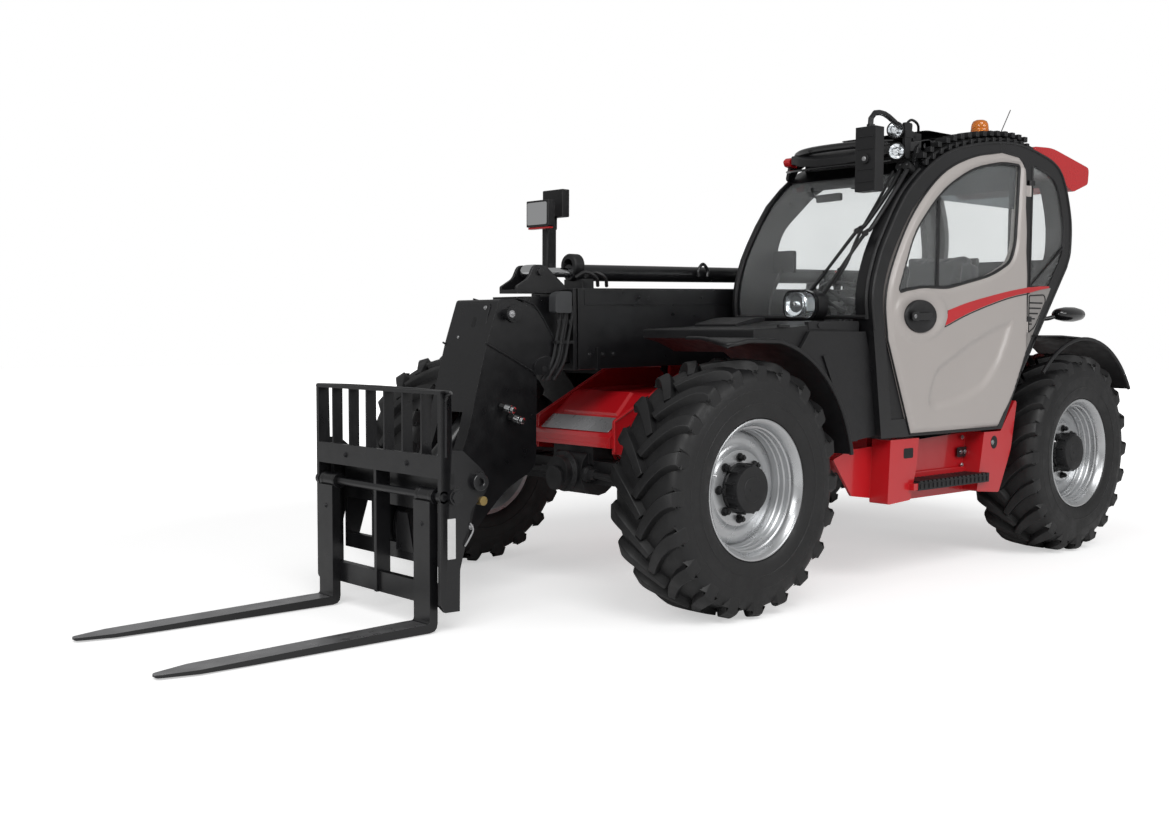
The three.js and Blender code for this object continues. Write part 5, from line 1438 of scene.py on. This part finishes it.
def add_seat():
    pads = [
        cushion("seat_base_pad", (440, 380, 95), (-1905, 660, 1290), 4, 4.0),
        cushion("seat_back_pad", (100, 400, 420), (-2140, 660, 1530), -13, 4.0),
        cushion("seat_back_left", (110, 66, 360), (-2124, 874, 1510), -13, 3.0),
        cushion("seat_back_right", (110, 66, 360), (-2124, 446, 1510), -13, 3.0),
        cushion("seat_bolster_left", (380, 60, 90), (-1905, 865, 1312), 4, 3.0),
        cushion("seat_bolster_right", (380, 60, 90), (-1905, 455, 1312), 4, 3.0),
    ]
    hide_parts("seat")
    frame_parts = Shape()
    bellows = [
        (150, 0), (170, 14), (150, 28), (170, 42), (150, 56), (170, 70), (150, 84), (168, 98), (150, 112),
        (165, 126), (150, 140),
    ]
    frame_parts.lathe([(0, 0), *bellows, (0, 140)], (-1890, 660, 1070), "z", 28)
    frame_parts.block((-2060, 480, 812), (-1740, 840, 872))
    frame_parts.block((-2020, 520, 872), (-1780, 800, 1080))
    frame_parts.prism(
        rounded([(-2120, 1212, 20), (-1680, 1212, 30), (-1670, 1246, 20), (-2120, 1246, 20)]), 448, 872
    )
    shell = rounded([(-2180, 1270, 20), (-2215, 1270, 20), (-2258, 1720, 40), (-2226, 1726, 20)])
    frame_parts.prism(shell, 450, 870)
    piece("seat_frame", frame_parts, PLASTIC, "chassis", bevel=6)
    arms = Shape()
    arms.prism(
        rounded([(-2160, 1478, 20), (-1860, 1484, 24), (-1850, 1520, 20), (-2160, 1516, 20)]), 398, 452
    )
    arms.block((-2172, 410, 1300), (-2132, 440, 1500))
    arms.prism(
        rounded(
            [
                (-1880, 1240, 12), (-1620, 1240, 20), (-1600, 1440, 30), (-1660, 1476, 20),
                (-1870, 1450, 20),
            ]
        ),
        300, 396,
    )
    piece("armrest_console", arms, PLASTIC, "chassis", bevel=8)
    lever = Shape()
    lever.pipe([(-1660, 345, 1450), (-1655, 345, 1500), (-1640, 345, 1540)], 9, 10, 0)
    lever.lathe([(0, 0), (20, 4), (24, 30), (26, 70), (22, 96), (0, 104)], (-1636, 345, 1536), "z", 20, 0)
    for i, y in enumerate((318, 340, 362, 384)):
        lever.rod((-1740 + 8 * i, y, 1458), (-1740 + 8 * i, y, 1474), 6, 10, 1)
    lever.rod((-1640, 330, 1640), (-1640, 330, 1648), 5, 10, 1)
    piece("joystick", lever, [PLASTIC, RED_PLASTIC], "chassis", bevel=1)
    belt = Shape()
    belt.pipe([(-2120, 880, 1250), (-2100, 892, 1330), (-2060, 890, 1370)], 12, 6)
    piece("seat_belt_stalk", belt, RED_PLASTIC, "chassis")


def add_dashboard():
    dress("dashboard", PLASTIC, 4)
    face = Shape()
    face.prism(
        rounded([(560, 1352, 20), (760, 1352, 20), (740, 1432, 30), (580, 1432, 30)]), -1110, -1060, "x"
    )
    piece("display_housing", face, PLASTIC, "chassis", bevel=8)
    screen = Shape().prism(
        rounded([(580, 1362, 10), (740, 1362, 10), (726, 1422, 14), (594, 1422, 14)]), -1114, -1110.5, "x"
    )
    piece("display_face", screen, MIRROR_DARK, "chassis")
    knobs = Shape()
    for i in range(4):
        knobs.rod((-1200, 560 + 66 * i, 1290), (-1216, 560 + 66 * i, 1296), 14, 16)
    knobs.pipe([(-1240, 770, 1420), (-1252, 820, 1440), (-1262, 870, 1452)], 7, 8)
    knobs.pipe([(-1240, 550, 1420), (-1252, 500, 1440), (-1262, 455, 1452)], 7, 8)
    for y in (560, 700):
        knobs.prism(rounded([(-1330, 850), (-1270, 900), (-1262, 894), (-1322, 838)], 5, 6), y, y + 70)
    piece("dashboard_controls", knobs, PLASTIC, "chassis", bevel=3)


def add_steering_wheel():
    x, y, z = -1370.0, centre_of("steering_wheel").y / MM, 1470.0
    ring_radius, grip_radius, column_angle = 185, 14, -28
    wheel = Shape()
    count, sides = 48, 10
    points = []
    for i in range(count):
        t = 2 * math.pi * i / count
        for k in range(sides):
            s = 2 * math.pi * k / sides
            r = ring_radius + grip_radius * math.cos(s)
            points.append((r * math.cos(t), r * math.sin(t), grip_radius * math.sin(s)))
    faces = []
    for i in range(count):
        for k in range(sides):
            j, n = (i + 1) % count, (k + 1) % sides
            faces.append((i * sides + k, j * sides + k, j * sides + n, i * sides + n))
    wheel.add(points, faces)
    for degrees in (90, 210, 330):
        t = math.radians(degrees)
        wheel.tube(
            [(30 * math.cos(t), 30 * math.sin(t), -26), (176 * math.cos(t), 176 * math.sin(t), -3)], 13,
            8, 0, 9,
        )
    wheel.lathe([(0, -44), (40, -44), (52, -30), (54, -14), (44, -6), (0, -4)], (0, 0, 0), "z", 32)
    wheel.rod((0, 0, -150), (0, 0, -40), 20, 20)
    wheel.lathe([(0, -6), (20, -4), (25, 14), (26, 34), (18, 48), (0, 52)], (132, -120, 0), "z", 20)
    turn = Matrix.Rotation(math.radians(column_angle), 3, "Y")
    wheel.points = [turn @ p + Vector((x, y, z)) for p in wheel.points]
    piece("steering_wheel_full", wheel, PLASTIC, "steering_wheel", ["steering_wheel"], angle=50)


def add_cab_inside():
    lining = Shape()
    lining.block((-2180, CAB_INNER_Y + 50, 812), (-1010, 1016, 820))
    lining.prism(
        rounded(
            [(-2240, 820, 20), (-2240, 1230, 40), (-1980, 1230, 60), (-1800, 1180, 60), (-1800, 820, 20)]
        ),
        256, 300,
    )
    lining.prism(
        rounded([(-2560, 1560, 20), (-2250, 1230, 30), (-2230, 1260, 30), (-2540, 1590, 20)]), 260, 1010
    )
    piece("cab_lining", lining, PLASTIC, "chassis", bevel=6)
    roof = Shape()
    roof.prism(
        rounded(
            [
                (-1420, 2110, 40), (-1900, 2210, 60), (-2380, 2230, 40), (-2380, 2262, 20),
                (-1900, 2250, 40), (-1420, 2150, 30),
            ]
        ),
        300, 1000,
    )
    roof.block((-1560, 560, 2080), (-1460, 760, 2130))
    piece("headliner", roof, PLASTIC, "chassis", bevel=8)
    mirror = Shape()
    mirror.pipe([(-1236, 470, 2075), (-1262, 470, 2035), (-1270, 500, 2015)], 8, 8)
    mirror.prism(rounded([(480, 1996), (640, 2000), (640, 2040), (480, 2036)], 5, 10), -1284, -1262, "x")
    piece("inside_mirror", mirror, PLASTIC, "chassis", bevel=3)
    post = Shape()
    post.pipe([(-1100, 300, 1360), (-1120, 300, 1500), (-1180, 320, 1640)], 10, 8)
    post.prism(round_box(260, 1620, 400, 1740, 12), -1200, -1176, "x")
    piece("monitor", post, PLASTIC, "chassis", bevel=3)


def add_cab():
    dress("cab_frame", BLACK, 6)
    dress("windscreen", GLASS)
    dress("rear_window", GLASS)
    dress("right_window", GLASS)
    dress("quarter_window", GLASS)
    add_door()
    add_quarter_panel()
    add_cab_seals()
    add_wipers()
    add_roof()
    add_visor_details()
    add_cowls()
    add_mirrors()
    add_rear_lamps()
    add_seat()
    add_dashboard()
    add_steering_wheel()
    add_cab_inside()


# ---- Boom, head and carriage ---------------------------------------------------------
HEAD_SIDE_Y = 165.0
HEAD_TOP = Vector((678, 0, 1445))
HEAD_TOE = Vector((865, 0, 794))


def on_head_face(along, across, lift=0.0):
    """Point on the head's sloping front face, from its top edge."""
    down = (HEAD_TOE - HEAD_TOP).normalized()
    out = Vector((-down.z, 0, down.x))
    return HEAD_TOP + down * along + out * lift + Vector((0, across, 0))


def face_plate(shape, outline, lift, thickness, look=0):
    """Plate lying on the head's front face; the outline is (along, across)."""
    flat = [on_head_face(a, b, lift) for a, b in outline]
    top = [on_head_face(a, b, lift + thickness) for a, b in outline]
    shape.add([*flat, *top], slab_faces(len(outline)), look)


def add_boom_head():
    dress("boom_head", BLACK, 5)
    trim = Shape()
    cover = rounded([(22, -108, 26), (22, 118, 20), (190, 118, 70), (212, 40, 40), (214, -108, 26)], 5)
    face_plate(trim, cover, 0.5, 6)
    for along, across in ((44, 86), (190, -70)):
        spot = on_head_face(along, across, 6)
        trim.bolt(spot, (0.96, 0, 0.28), 8, 7, 1)
    piece("head_cover", trim, [BLACK, STEEL], "boom_inner", bevel=2)
    slot = Shape()
    face_plate(slot, rounded([(88, 8), (88, 34), (140, 34), (140, 8)], 4, 12), 6.4, 1)
    piece("head_slot", slot, IRON, "boom_inner")
    for name, side in SIDES:
        details = Shape()
        y = side * HEAD_SIDE_Y
        details.rod((596, y, 1376), (596, y + side * 9, 1376), 40, 28, 0)
        details.rod((580, y, 1376), (580, y + side * 13, 1376), 30, 24, 0)
        details.rod((634, y, 1375), (634, y + side * 40, 1375), 27, 24, 0)
        details.rod((634, y + side * 39, 1375), (634, y + side * 46, 1375), 17, 20, 1)
        details.bolt((634, y + side * 45, 1375), (0, side, 0), 7, 6, 1)
        weld = [(760, y + side * 2, 1240), (640, y + side * 2, 1184), (471, y + side * 2, 1101)]
        details.tube(weld, 5, 8, 0)
        seam = [
            (576, y + side * 2, 1451), (500, y + side * 2, 1432), (441, y + side * 2, 1397),
            (327, y + side * 2, 1244),
        ]
        details.pipe(seam, 5, 8, 0)
        details.prism(
            rounded(
                [(300, 1085, 10), (470, 1085, 10), (470, 1150, 30), (395, 1180, 30), (300, 1150, 10)]
            ),
            min(y, y + side * 12), max(y, y + side * 12),
        )
        details.rod((409, y + side * 12, 1114), (409, y + side * 14, 1114), 13, 16, 2)
        piece(f"head_{name}_details", details, [BLACK, STEEL, IRON], "boom_inner", bevel=1.5)
    couplers = Shape()
    for x, z in ((652, 930), (598, 877)):
        start = Vector((x + 20, 168, z + 16))
        axis = Vector((-0.35, 0.9, -0.25)).normalized()
        couplers.rod(start, start + axis * 30, 15, 6, 1)
        couplers.rod(start + axis * 30, start + axis * 58, 18, 20, 0)
        couplers.rod(start + axis * 58, start + axis * 64, 14, 20, 1)
        couplers.rod(start + axis * 64, start + axis * 78, 17, 20, 0)
        couplers.rod(start + axis * 78, start + axis * 82, 9, 16, 1)
    piece("couplers", couplers, [CHROME, IRON], "boom_inner", bevel=1.2)
    add_head_hoses()


def add_head_hoses():
    hoses = Shape()
    for i in range(4):
        y = 176 + 11 * (i % 2)
        x = 330 - 22 * i
        hoses.pipe(
            [
                (x, y, 1450), (x - 12, y + 8, 1370), (x + 6, y + 4, 1260), (x + 30, y, 1150),
                (x + 80, y - 20, 1060),
            ],
            8, 8, 0,
        )
        hoses.rod((x - 6, y + 4, 1330), (x - 4, y + 4, 1352), 11, 10, 1)
    for i in range(3):
        y = -60 + 60 * i
        hoses.pipe([(700, y, 1000), (740, y, 860), (720, y, 700), (690, y * 1.4, 600)], 11, 8, 0)
    for z in (1236, 1404):
        hoses.block((238, 168, z), (352, 196, z + 14), 1)
    box_shape = rounded(
        [(268, 1384, 14), (372, 1384, 14), (372, 1474, 20), (330, 1488, 10), (268, 1488, 14)]
    )
    hoses.prism(box_shape, 166, 214, "y", look=2)
    piece("head_hoses", hoses, [PLASTIC, IRON, GREY_DARK], "boom_inner", angle=40)


def add_boom():
    for node in ("boom", "boom_section_middle"):
        dress(node, BLACK, 5)
    dress("telescope_cylinder_barrel", BLACK, 4)
    dress("telescope_cylinder_rod", CHROME, 3)
    for name in ("lift", "tilt"):
        dress(f"{name}_cylinder_barrel", BLACK, 3)
        dress(f"{name}_cylinder_rod", CHROME, 2)
    slope = -0.0211

    def level(x, z):
        """Height on the boom, which runs slightly downhill."""
        return z + (x - 100) * slope

    trim = Shape()
    for side in (1, -1):
        y = side * 160
        for x in (100, 12, -60):
            trim.bolt((x, y, level(x, 1178)), (0, side, 0), 10, 8, 0)
        trim.block(
            (44, min(y, y + side * 14), level(53, 1104)), (64, max(y, y + side * 14), level(53, 1214)), 0
        )
        low, high = sorted((y, y + side * 3))
        band = [
            (140, level(140, 1500)), (140, level(140, 1425)), (-2300, level(-2300, 1425)),
            (-2300, level(-2300, 1500)),
        ]
        trim.prism(rounded([(*p, 4) for p in band], 2), low, high, "y", look=0)
        for x in (-300, -700, -1100, -1500, -1900):
            trim.bolt((x, y + side * 3, level(x, 1462)), (0, side, 0), 7, 5, 0)
    piece("boom_trim", trim, [BLACK, STEEL], "boom_base", bevel=1.5)
    rings = Shape()
    for x in (-819, -2450):
        loop = [
            (x - 34, 60, 1560), (x - 36, 60, 1596), (x, 60, 1628), (x + 36, 60, 1596), (x + 34, 60, 1560)
        ]
        rings.pipe([(a, b, level(a, c) + 18) for a, b, c in loop], 9, 10)
    piece("lifting_rings", rings, BLACK, "boom_base")
    pipes = Shape()
    for i in range(3):
        y = -176 - 13 * i
        run = [(120, y, level(120, 1440)), (-900, y, level(-900, 1440)), (-2300, y, level(-2300, 1440))]
        pipes.tube(run, 7, 8)
    for x in (-100, -900, -1700):
        pipes.block((x - 18, -214, level(x, 1425)), (x + 18, -160, level(x, 1455)))
    piece("boom_pipes", pipes, IRON, "boom_base", bevel=1)
    gland = Shape()
    low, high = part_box("telescope_cylinder_barrel")
    y, z = (low.y + high.y) / 2 / MM, (high.z / MM) - 52
    front = (high.x - AXLE_X) / MM
    gland.lathe(
        [(34, -60), (60, -60), (60, -8), (54, 0), (34, 0)], (front + 2, y, level(front, z) - 6), "x", 32
    )
    piece("telescope_gland", gland, IRON, "boom_base", bevel=2)
    hose = Shape()
    for i in range(2):
        start = Vector((40 - 60 * i, 150, level(0, 1520)))
        hose.pipe(
            [
                start, start + Vector((30, 20, 40)), start + Vector((90, 10, 66)),
                start + Vector((130, -20, 40)),
            ],
            9, 8,
        )
    piece("telescope_hoses", hose, PLASTIC, "boom_base")


def add_carriage():
    dress("tool_carrier", BLACK, 4)
    dress("fork_carriage", BLACK, 5)
    outer = 506.0
    for name, side in SIDES:
        plate = Shape()
        y = side * outer

        def out(distance):
            return y + side * distance

        ring = [(17, 0), (17, 24), (20, 27), (36, 27), (39, 24), (39, 0)]
        plate.lathe([(r, d * side) for r, d in ring], (1062, y, 645), "y", 32, 0)
        plate.rod((1062, y, 645), (1062, out(4), 645), 17, 20, 2)
        plate.rod((1190, y, 590), (1190, out(22), 590), 34, 28, 0)
        plate.rod((1190, out(22), 590), (1190, out(30), 590), 26, 6, 0)
        plate.prism(round_box(1184, 640, 1202, 690, 9, 4), *sorted((y, out(1.2))), look=2)
        plate.rod((1036, y - side * 30, 560), (1036, out(10), 560), 20, 20, 3)
        plate.pipe(
            [(1105, out(6), 470), (1098, out(16), 440), (1120, out(14), 400), (1135, out(6), 372)], 4, 8,
            1,
        )
        plate.bolt((1098, y, 452), (0, side, 0), 9, 8, 1)
        low, high = sorted((y, out(1.2)))
        plate.prism(round_box(1180, 322, 1222, 496, 3, 2), low, high, look=4)
        piece(f"carriage_{name}_details", plate, [BLACK, STEEL, IRON, BRASS, LABEL], "carriage", bevel=1.5)
    frame_bits = Shape()
    half = 505
    bow = [(1229, -half + 3, 760), (1229, -half + 3, 1000), (1229, -half + 36, 1036)]
    bow += [(x, -y, z) for x, y, z in reversed(bow)]
    frame_bits.pipe(bow, 9, 8, steps=4)
    gusset = rounded([(20, 300, 8), (160, 300, 8), (112, 476, 10), (36, 476, 10)])
    frame_bits.prism(gusset, 1150, 1160, "x")
    for y in (-250, 250):
        frame_bits.bolt((1258, y, 718), (1, 0, 0), 11, 9)
    frame_bits.lathe([(18, -506), (27, -506), (27, -482), (18, -482)], (1240, 0, 590), "y", 20)
    frame_bits.lathe([(18, 482), (27, 482), (27, 506), (18, 506)], (1240, 0, 590), "y", 20)
    piece("carriage_bars", frame_bits, BLACK, "carriage", bevel=1.5)
    link = Shape()
    for side in (1, -1):
        link.lathe([(0, 0), (44, 0), (44, 10), (38, 14), (0, 14)], (985, side * 198, 350), "y", 28)
        link.bolt((985, side * 211, 350), (0, side, 0), 14, 12)
    piece("tilt_pin_caps", link, IRON, "carriage", bevel=1.5)


def add_forks():
    for side_name, y in (("left", 394), ("right", -394)):
        fork = dress(f"fork_{side_name}", BLACK, 4)
        fork.data.materials.append(STEEL)
        for face in fork.data.polygons:
            height = face.center.z / MM
            if face.normal.z > 0.5 and height < 120 and face.center.x > place(1300, 0, 0).x:
                face.material_index = 1
        bits = Shape()
        bits.lathe(
            [(19, -62), (34, -62), (36, -58), (36, -40), (34, -36), (19, -36)], (1240, y, 590), "y", 24
        )
        bits.lathe([(19, 36), (34, 36), (36, 40), (36, 58), (34, 62), (19, 62)], (1240, y, 590), "y", 24)
        bits.bolt((1279, y, 470), (1, 0, 0), 9, 6)
        piece(f"fork_{side_name}_collars", bits, BLACK, f"fork_{side_name}", bevel=1.2)


# ---- Chassis, steps and fenders --------------------------------------------------------
def add_nose():
    dress("chassis_frame", RED, 5)
    deck = Shape()
    slope_start, slope_end = Vector((86, 0, 779)), Vector((-200, 0, 986))
    along = (slope_end - slope_start).normalized()
    out = Vector((-along.z, 0, along.x))
    out = out if out.z > 0 else -out

    def on_deck(distance, y, lift):
        spot = slope_start + along * distance + out * lift
        return (spot.x, y, spot.z)

    outline = rounded([(26, -258), (26, 258), (138, 262), (138, -262)], 3, 10)
    low = [on_deck(a, b, 1.0) for a, b in outline]
    top = [on_deck(a, b, 5.0) for a, b in outline]
    deck.add([*low, *top], slab_faces(len(outline)))
    piece("nose_band", deck, BAND, "chassis", bevel=1.5)
    ribs = Shape()
    raised = [(158, -214), (158, 214), (346, 168), (346, -168)]
    foot = [on_deck(a, b, -2) for a, b in raised]
    crown = [on_deck(a + (8 if a < 200 else -8), b * 0.93, 11) for a, b in raised]
    ribs.add(
        [*foot, *crown],
        [(3, 2, 1, 0), (4, 5, 6, 7), (0, 1, 5, 4), (1, 2, 6, 5), (2, 3, 7, 6), (3, 0, 4, 7)],
    )
    ribs.block((60, -282, 722), (98, 282, 740))
    for side in (1, -1):
        y = side * 300
        lip = [(60, y, 700), (62, y, 852), (-425, y, 1094), (-858, y, 1094)]
        ribs.tube(lip, 7, 8)
        for x, z in ((-470, 1000), (-560, 1000), (-700, 960)):
            ribs.bolt((x, y, z), (0, side, 0), 11, 9)
    piece("nose_trim", ribs, RED, "chassis", bevel=2)


def add_axles():
    for end, x in AXLES:
        parts = Shape()
        ahead = 1 if end == "front" else -1
        reach = x + ahead * 118
        parts.lathe(
            [
                (0, 0), (104, 0), (104, 14 * ahead), (84, 26 * ahead), (80, 60 * ahead), (58, 66 * ahead),
                (0, 66 * ahead),
            ],
            (reach, 0, ROLL_RADIUS), "x", 28,
        )
        for i in range(10):
            t = 2 * math.pi * i / 10
            parts.bolt(
                (reach + ahead * 12, 92 * math.cos(t), ROLL_RADIUS + 92 * math.sin(t)), (ahead, 0, 0), 8,
                8,
            )
        for side in (1, -1):
            parts.pipe(
                [
                    (x + ahead * 90, side * 150, ROLL_RADIUS - 6),
                    (x + ahead * 128, side * 420, ROLL_RADIUS - 10),
                    (x + ahead * 122, side * 640, ROLL_RADIUS),
                ],
                17, 12,
            )
            parts.lathe(
                [(0, 0), (40, 0), (40, 20 * side), (28, 26 * side), (28, 70 * side), (0, 70 * side)],
                (x + ahead * 90, side * 130, ROLL_RADIUS - 6), "y", 20,
            )
            for i in range(5):
                parts.block(
                    (x - 70, side * (330 + 80 * i) - 8, ROLL_RADIUS + 58),
                    (x + 70, side * (330 + 80 * i) + 8, ROLL_RADIUS + 70),
                )
        piece(f"{end}_axle_details", parts, IRON, "chassis", bevel=2)
    shaft = Shape()
    shaft.rod((-300, 0, 640), (-WHEELBASE + 300, 0, 600), 34, 20)
    for x in (-330, -1420, -WHEELBASE + 330):
        shaft.rod((x - 40, 0, 624), (x + 40, 0, 624), 56, 16)
    piece("drive_shaft", shaft, IRON, "chassis", bevel=2)


STEP_FACE_Y = 1112.0
STEP_LIP = ((-1966.0, 1092.0, 482.0), (-1296.0, 1150.0, 524.0))


def add_steps():
    """Serrated tread over the step's lip, dark patches of painted shade for the posts' openings, and the
    apron between the posts.
    """
    dress("step_frame", RED, 5)
    low, high = STEP_LIP
    tread = Shape().block((low[0], low[1], low[2]), (high[0], high[1] - 4, high[2]))
    count = 17
    pitch = (high[0] - low[0]) / count
    for i in range(count):
        x = low[0] + pitch * i
        tread.block((x + 6, 1010, high[2] - 2), (x + pitch - 8, high[1], high[2] + 9))
        tread.block((x + 10, high[1] - 6, low[2] + 8), (x + pitch - 12, high[1] + 1, high[2] - 8))
    piece("step_tread", tread, PLASTIC, "chassis", bevel=1.5)
    apron = rounded([(-2000, 420, 10), (-1262, 420, 10), (-1262, 560, 4), (-2000, 560, 4)], 3)
    piece("step_apron", Shape().prism(apron, 1015, 1021), RED, "chassis", bevel=2)
    # Painted shade: dark flat patches stand in the square and round openings of the posts; the latch plate
    # beside them is dark iron of its own.
    holes = Shape()
    square = round_box(-1290, 652, -1206, 704, 10, 3)
    holes.prism(square, STEP_FACE_Y - 1, STEP_FACE_Y + 0.8)
    holes.prism(circle(-2062, 692, 33, 24, 1.1), STEP_FACE_Y - 1, STEP_FACE_Y + 0.8)
    latch = round_box(-1960, 614, -1850, 668, 8, 3)
    holes.prism(latch, 1014, 1015.6)
    piece("step_hole_shade_and_latch", holes, IRON, "chassis")
    bolts = Shape().bolt((-2046, STEP_FACE_Y, 692), (0, 1, 0), 10, 5)
    for x, z in ((-1925, 641), (-1885, 641), (-1898, 722), (-1898, 570)):
        bolts.bolt((x, 1015, z), (0, 1, 0), 9, 7)
    piece("step_bolts", bolts, STEEL, "chassis")


SIDE_PANEL_REAR = [(-740, 752), (-1010, 780), (-940, 1190), (-905, 1300), (-470, 1300)]


def fender_arc(radius, start, end, count, x):
    points = []
    for i in range(count + 1):
        t = math.radians(start + (end - start) * i / count)
        points.append((x + radius * math.cos(t), ROLL_RADIUS + radius * math.sin(t)))
    return points


def add_fenders():
    for name, side in SIDES:
        dress(f"front_fender_{name}", PLASTIC, 2.5)
        dress(f"rear_fender_{name}", PLASTIC, 2.5)
        roll = Shape()
        front = [(a, side * 1190, b) for a, b in fender_arc(676, 100, 169.5, 22, 0.0)]
        lead = [
            (-38, 705, 1262), (20, 760, 1264), (100, 940, 1262), (190, 1130, 1244), (190, 1176, 1240),
            (90, 1190, 1256),
        ]
        if side < 0:
            lead = [(-84, -705, 1262), (-84, -940, 1262), (-86, -1170, 1261), (-100, -1190, 1260)]
        roll.tube([*smooth_path(lead, 4), *front], 11, 8)
        rear = [(a, side * 1190, b) for a, b in fender_arc(676, 30, 147, 30, -WHEELBASE)]
        rear = [p for p in rear if p[0] < -2480 or p[0] < -2400]
        roll.tube(rear, 11, 8)
        piece(f"fender_{name}_edges", roll, PLASTIC, "chassis", angle=50)
        extra = Shape()
        for degrees in (118, 140, 160):
            t = math.radians(degrees)
            extra.bolt(
                (690 * math.cos(t), side * 1150, ROLL_RADIUS + 690 * math.sin(t)),
                (math.cos(t), 0, math.sin(t)), 9, 7,
            )
        panel = [*fender_arc(686, 122, 166, 12, 0.0), *SIDE_PANEL_REAR]
        extra.prism(panel, *sorted((side * 1066, side * 1084)))
        ridge = [(-560, 1184), (-600, 1184), (-842, 760), (-790, 760)]
        extra.prism(ridge, *sorted((side * 1080, side * 1094)))
        piece(f"fender_{name}_panel", extra, PLASTIC, "chassis", bevel=3)


# ---- Engine side and rear ---------------------------------------------------------------
def add_engine_side():
    dress("engine_hood", PLASTIC, 14)
    dress("engine", IRON, 10)
    dress("exhaust_stack", BLACK, 6)
    outer = -1120.0
    louvres = Shape()
    louvres.prism(round_box(-2130, 720, -1640, 1150, 30), outer - 5, outer,
                  holes=[round_box(-2110, 740, -1660, 1130, 20)])
    for i in range(13):
        z = 752 + 29 * i
        louvres.add(
            [
                (-2108, outer - 1, z), (-1662, outer - 1, z), (-1662, outer - 12, z + 12),
                (-2108, outer - 12, z + 12), (-2108, outer - 1, z + 22), (-1662, outer - 1, z + 22),
            ],
            [(0, 1, 2, 3), (3, 2, 5, 4), (0, 3, 4), (1, 5, 2)],
        )
    louvres.prism(
        rounded([(-1560, 700, 40), (-980, 700, 40), (-980, 1190, 60), (-1560, 1190, 60)]), outer - 4,
        outer, holes=[rounded([(-1540, 720, 30), (-1000, 720, 30), (-1000, 1170, 50), (-1540, 1170, 50)])],
    )
    for i in range(9):
        x = -2040 + 60 * i
        louvres.block((x, -1040, 1299), (x + 34, -560, 1306))
    louvres.rod((-1320, outer, 1230), (-1320, outer - 8, 1230), 26, 24)
    piece("hood_louvres", louvres, PLASTIC, "hood", bevel=1.5)
    latch = Shape()
    for x in (-1000, -2080):
        latch.prism(
            rounded([(x - 36, 648, 8), (x + 36, 648, 8), (x + 30, 700, 10), (x - 30, 700, 10)], 3),
            outer - 10, outer,
        )
        latch.rod((x, outer - 10, 668), (x, outer - 14, 668), 9, 16)
    piece("hood_latches", latch, STEEL, "hood", bevel=1.5)
    engine = Shape()
    for i in range(4):
        x = -1860 + 180 * i
        engine.lathe([(0, 0), (60, 0), (60, 20), (40, 30), (40, 50), (0, 52)], (x, -670, 1180), "z", 24)
        engine.pipe([(x, -560, 1150), (x, -500, 1170), (x + 20, -460, 1120), (x + 30, -430, 1040)], 22, 10)
    engine.lathe(
        [(0, 0), (70, 0), (76, -10), (76, -180), (66, -196), (0, -198)], (-1280, -925, 900), "y", 28
    )
    engine.lathe([(0, 0), (150, 0), (150, 24), (120, 30), (60, 40), (0, 42)], (-1158, -670, 880), "x", 32)
    piece("engine_details", engine, IRON, "chassis", bevel=2)
    pipe = Shape()
    pipe.lathe([(50, 0), (62, 0), (62, 300), (50, 300)], (-2360, -420, 900), "z", 28)
    pipe.pipe([(-2360, -420, 1560), (-2362, -420, 1600), (-2386, -430, 1640), (-2430, -446, 1662)], 34, 16)
    for z in (930, 1170):
        pipe.lathe([(60, 0), (66, 2), (66, 22), (60, 24)], (-2360, -420, z), "z", 28)
    piece("exhaust_details", pipe, [IRON], "chassis", bevel=1)


def add_rear():
    dress("counterweight", IRON, 14)
    back = -3730.0
    hitch = Shape()
    hitch.rod((back - 40, 0, 560), (back - 40, 0, 780), 17, 20)
    hitch.rod((back - 40, 0, 780), (back - 40, 0, 792), 27, 20)
    hitch.pipe(
        [(back - 40, -20, 792), (back - 44, -6, 826), (back - 44, 16, 826), (back - 40, 24, 792)], 5, 8
    )
    for y in (-340, 340):
        for z in (620, 920):
            hitch.bolt((back, y, z), (-1, 0, 0), 17, 14)
    for y in (-120, 120):
        hitch.rod((back, y, 880), (back - 24, y, 880), 16, 16)
        hitch.rod((back - 24, y, 880), (back - 34, y, 880), 21, 16)
    piece("hitch", hitch, STEEL, "chassis", bevel=1.5)
    for name, side in SIDES:
        lamp = Shape()
        y = side * 360
        low, high = sorted((y - side * 60, y + side * 60))
        lamp.prism(
            rounded([(low, 1010, 10), (high, 1010, 10), (high, 1150, 14), (low, 1150, 14)]), back + 30,
            back + 80, "x", look=0,
        )
        for look, (foot, top) in enumerate(((1020, 1060), (1064, 1100), (1104, 1142)), 1):
            lens = round_box(low + 8, foot, high - 8, top, 8)
            lamp.prism(lens, back + 22, back + 31, "x", look=look)
        low, high = sorted((y - side * 60, side * 180))
        lamp.block((back + 42, low, 985), (back + 70, high, 1012), 0)
        lamp.block((back + 42, y - 30, 900), (back + 66, y + 30, 1012), 0)
        piece(f"tail_lamp_{name}", lamp, [PLASTIC, RED_LENS, AMBER, CLEAR_LENS], "chassis", bevel=2)
    plate = Shape().prism(round_box(-130, 1010, 130, 1070, 8, 3), back + 36, back + 42, "x")
    piece("plate_holder", plate, LABEL, "chassis", bevel=1)


add_camera()
add_world()
add_floor()
add_light()
add_wheels()
add_cab()
add_boom()
add_boom_head()
add_carriage()
add_forks()
add_nose()
add_axles()
add_steps()
add_fenders()
add_engine_side()
add_rear()
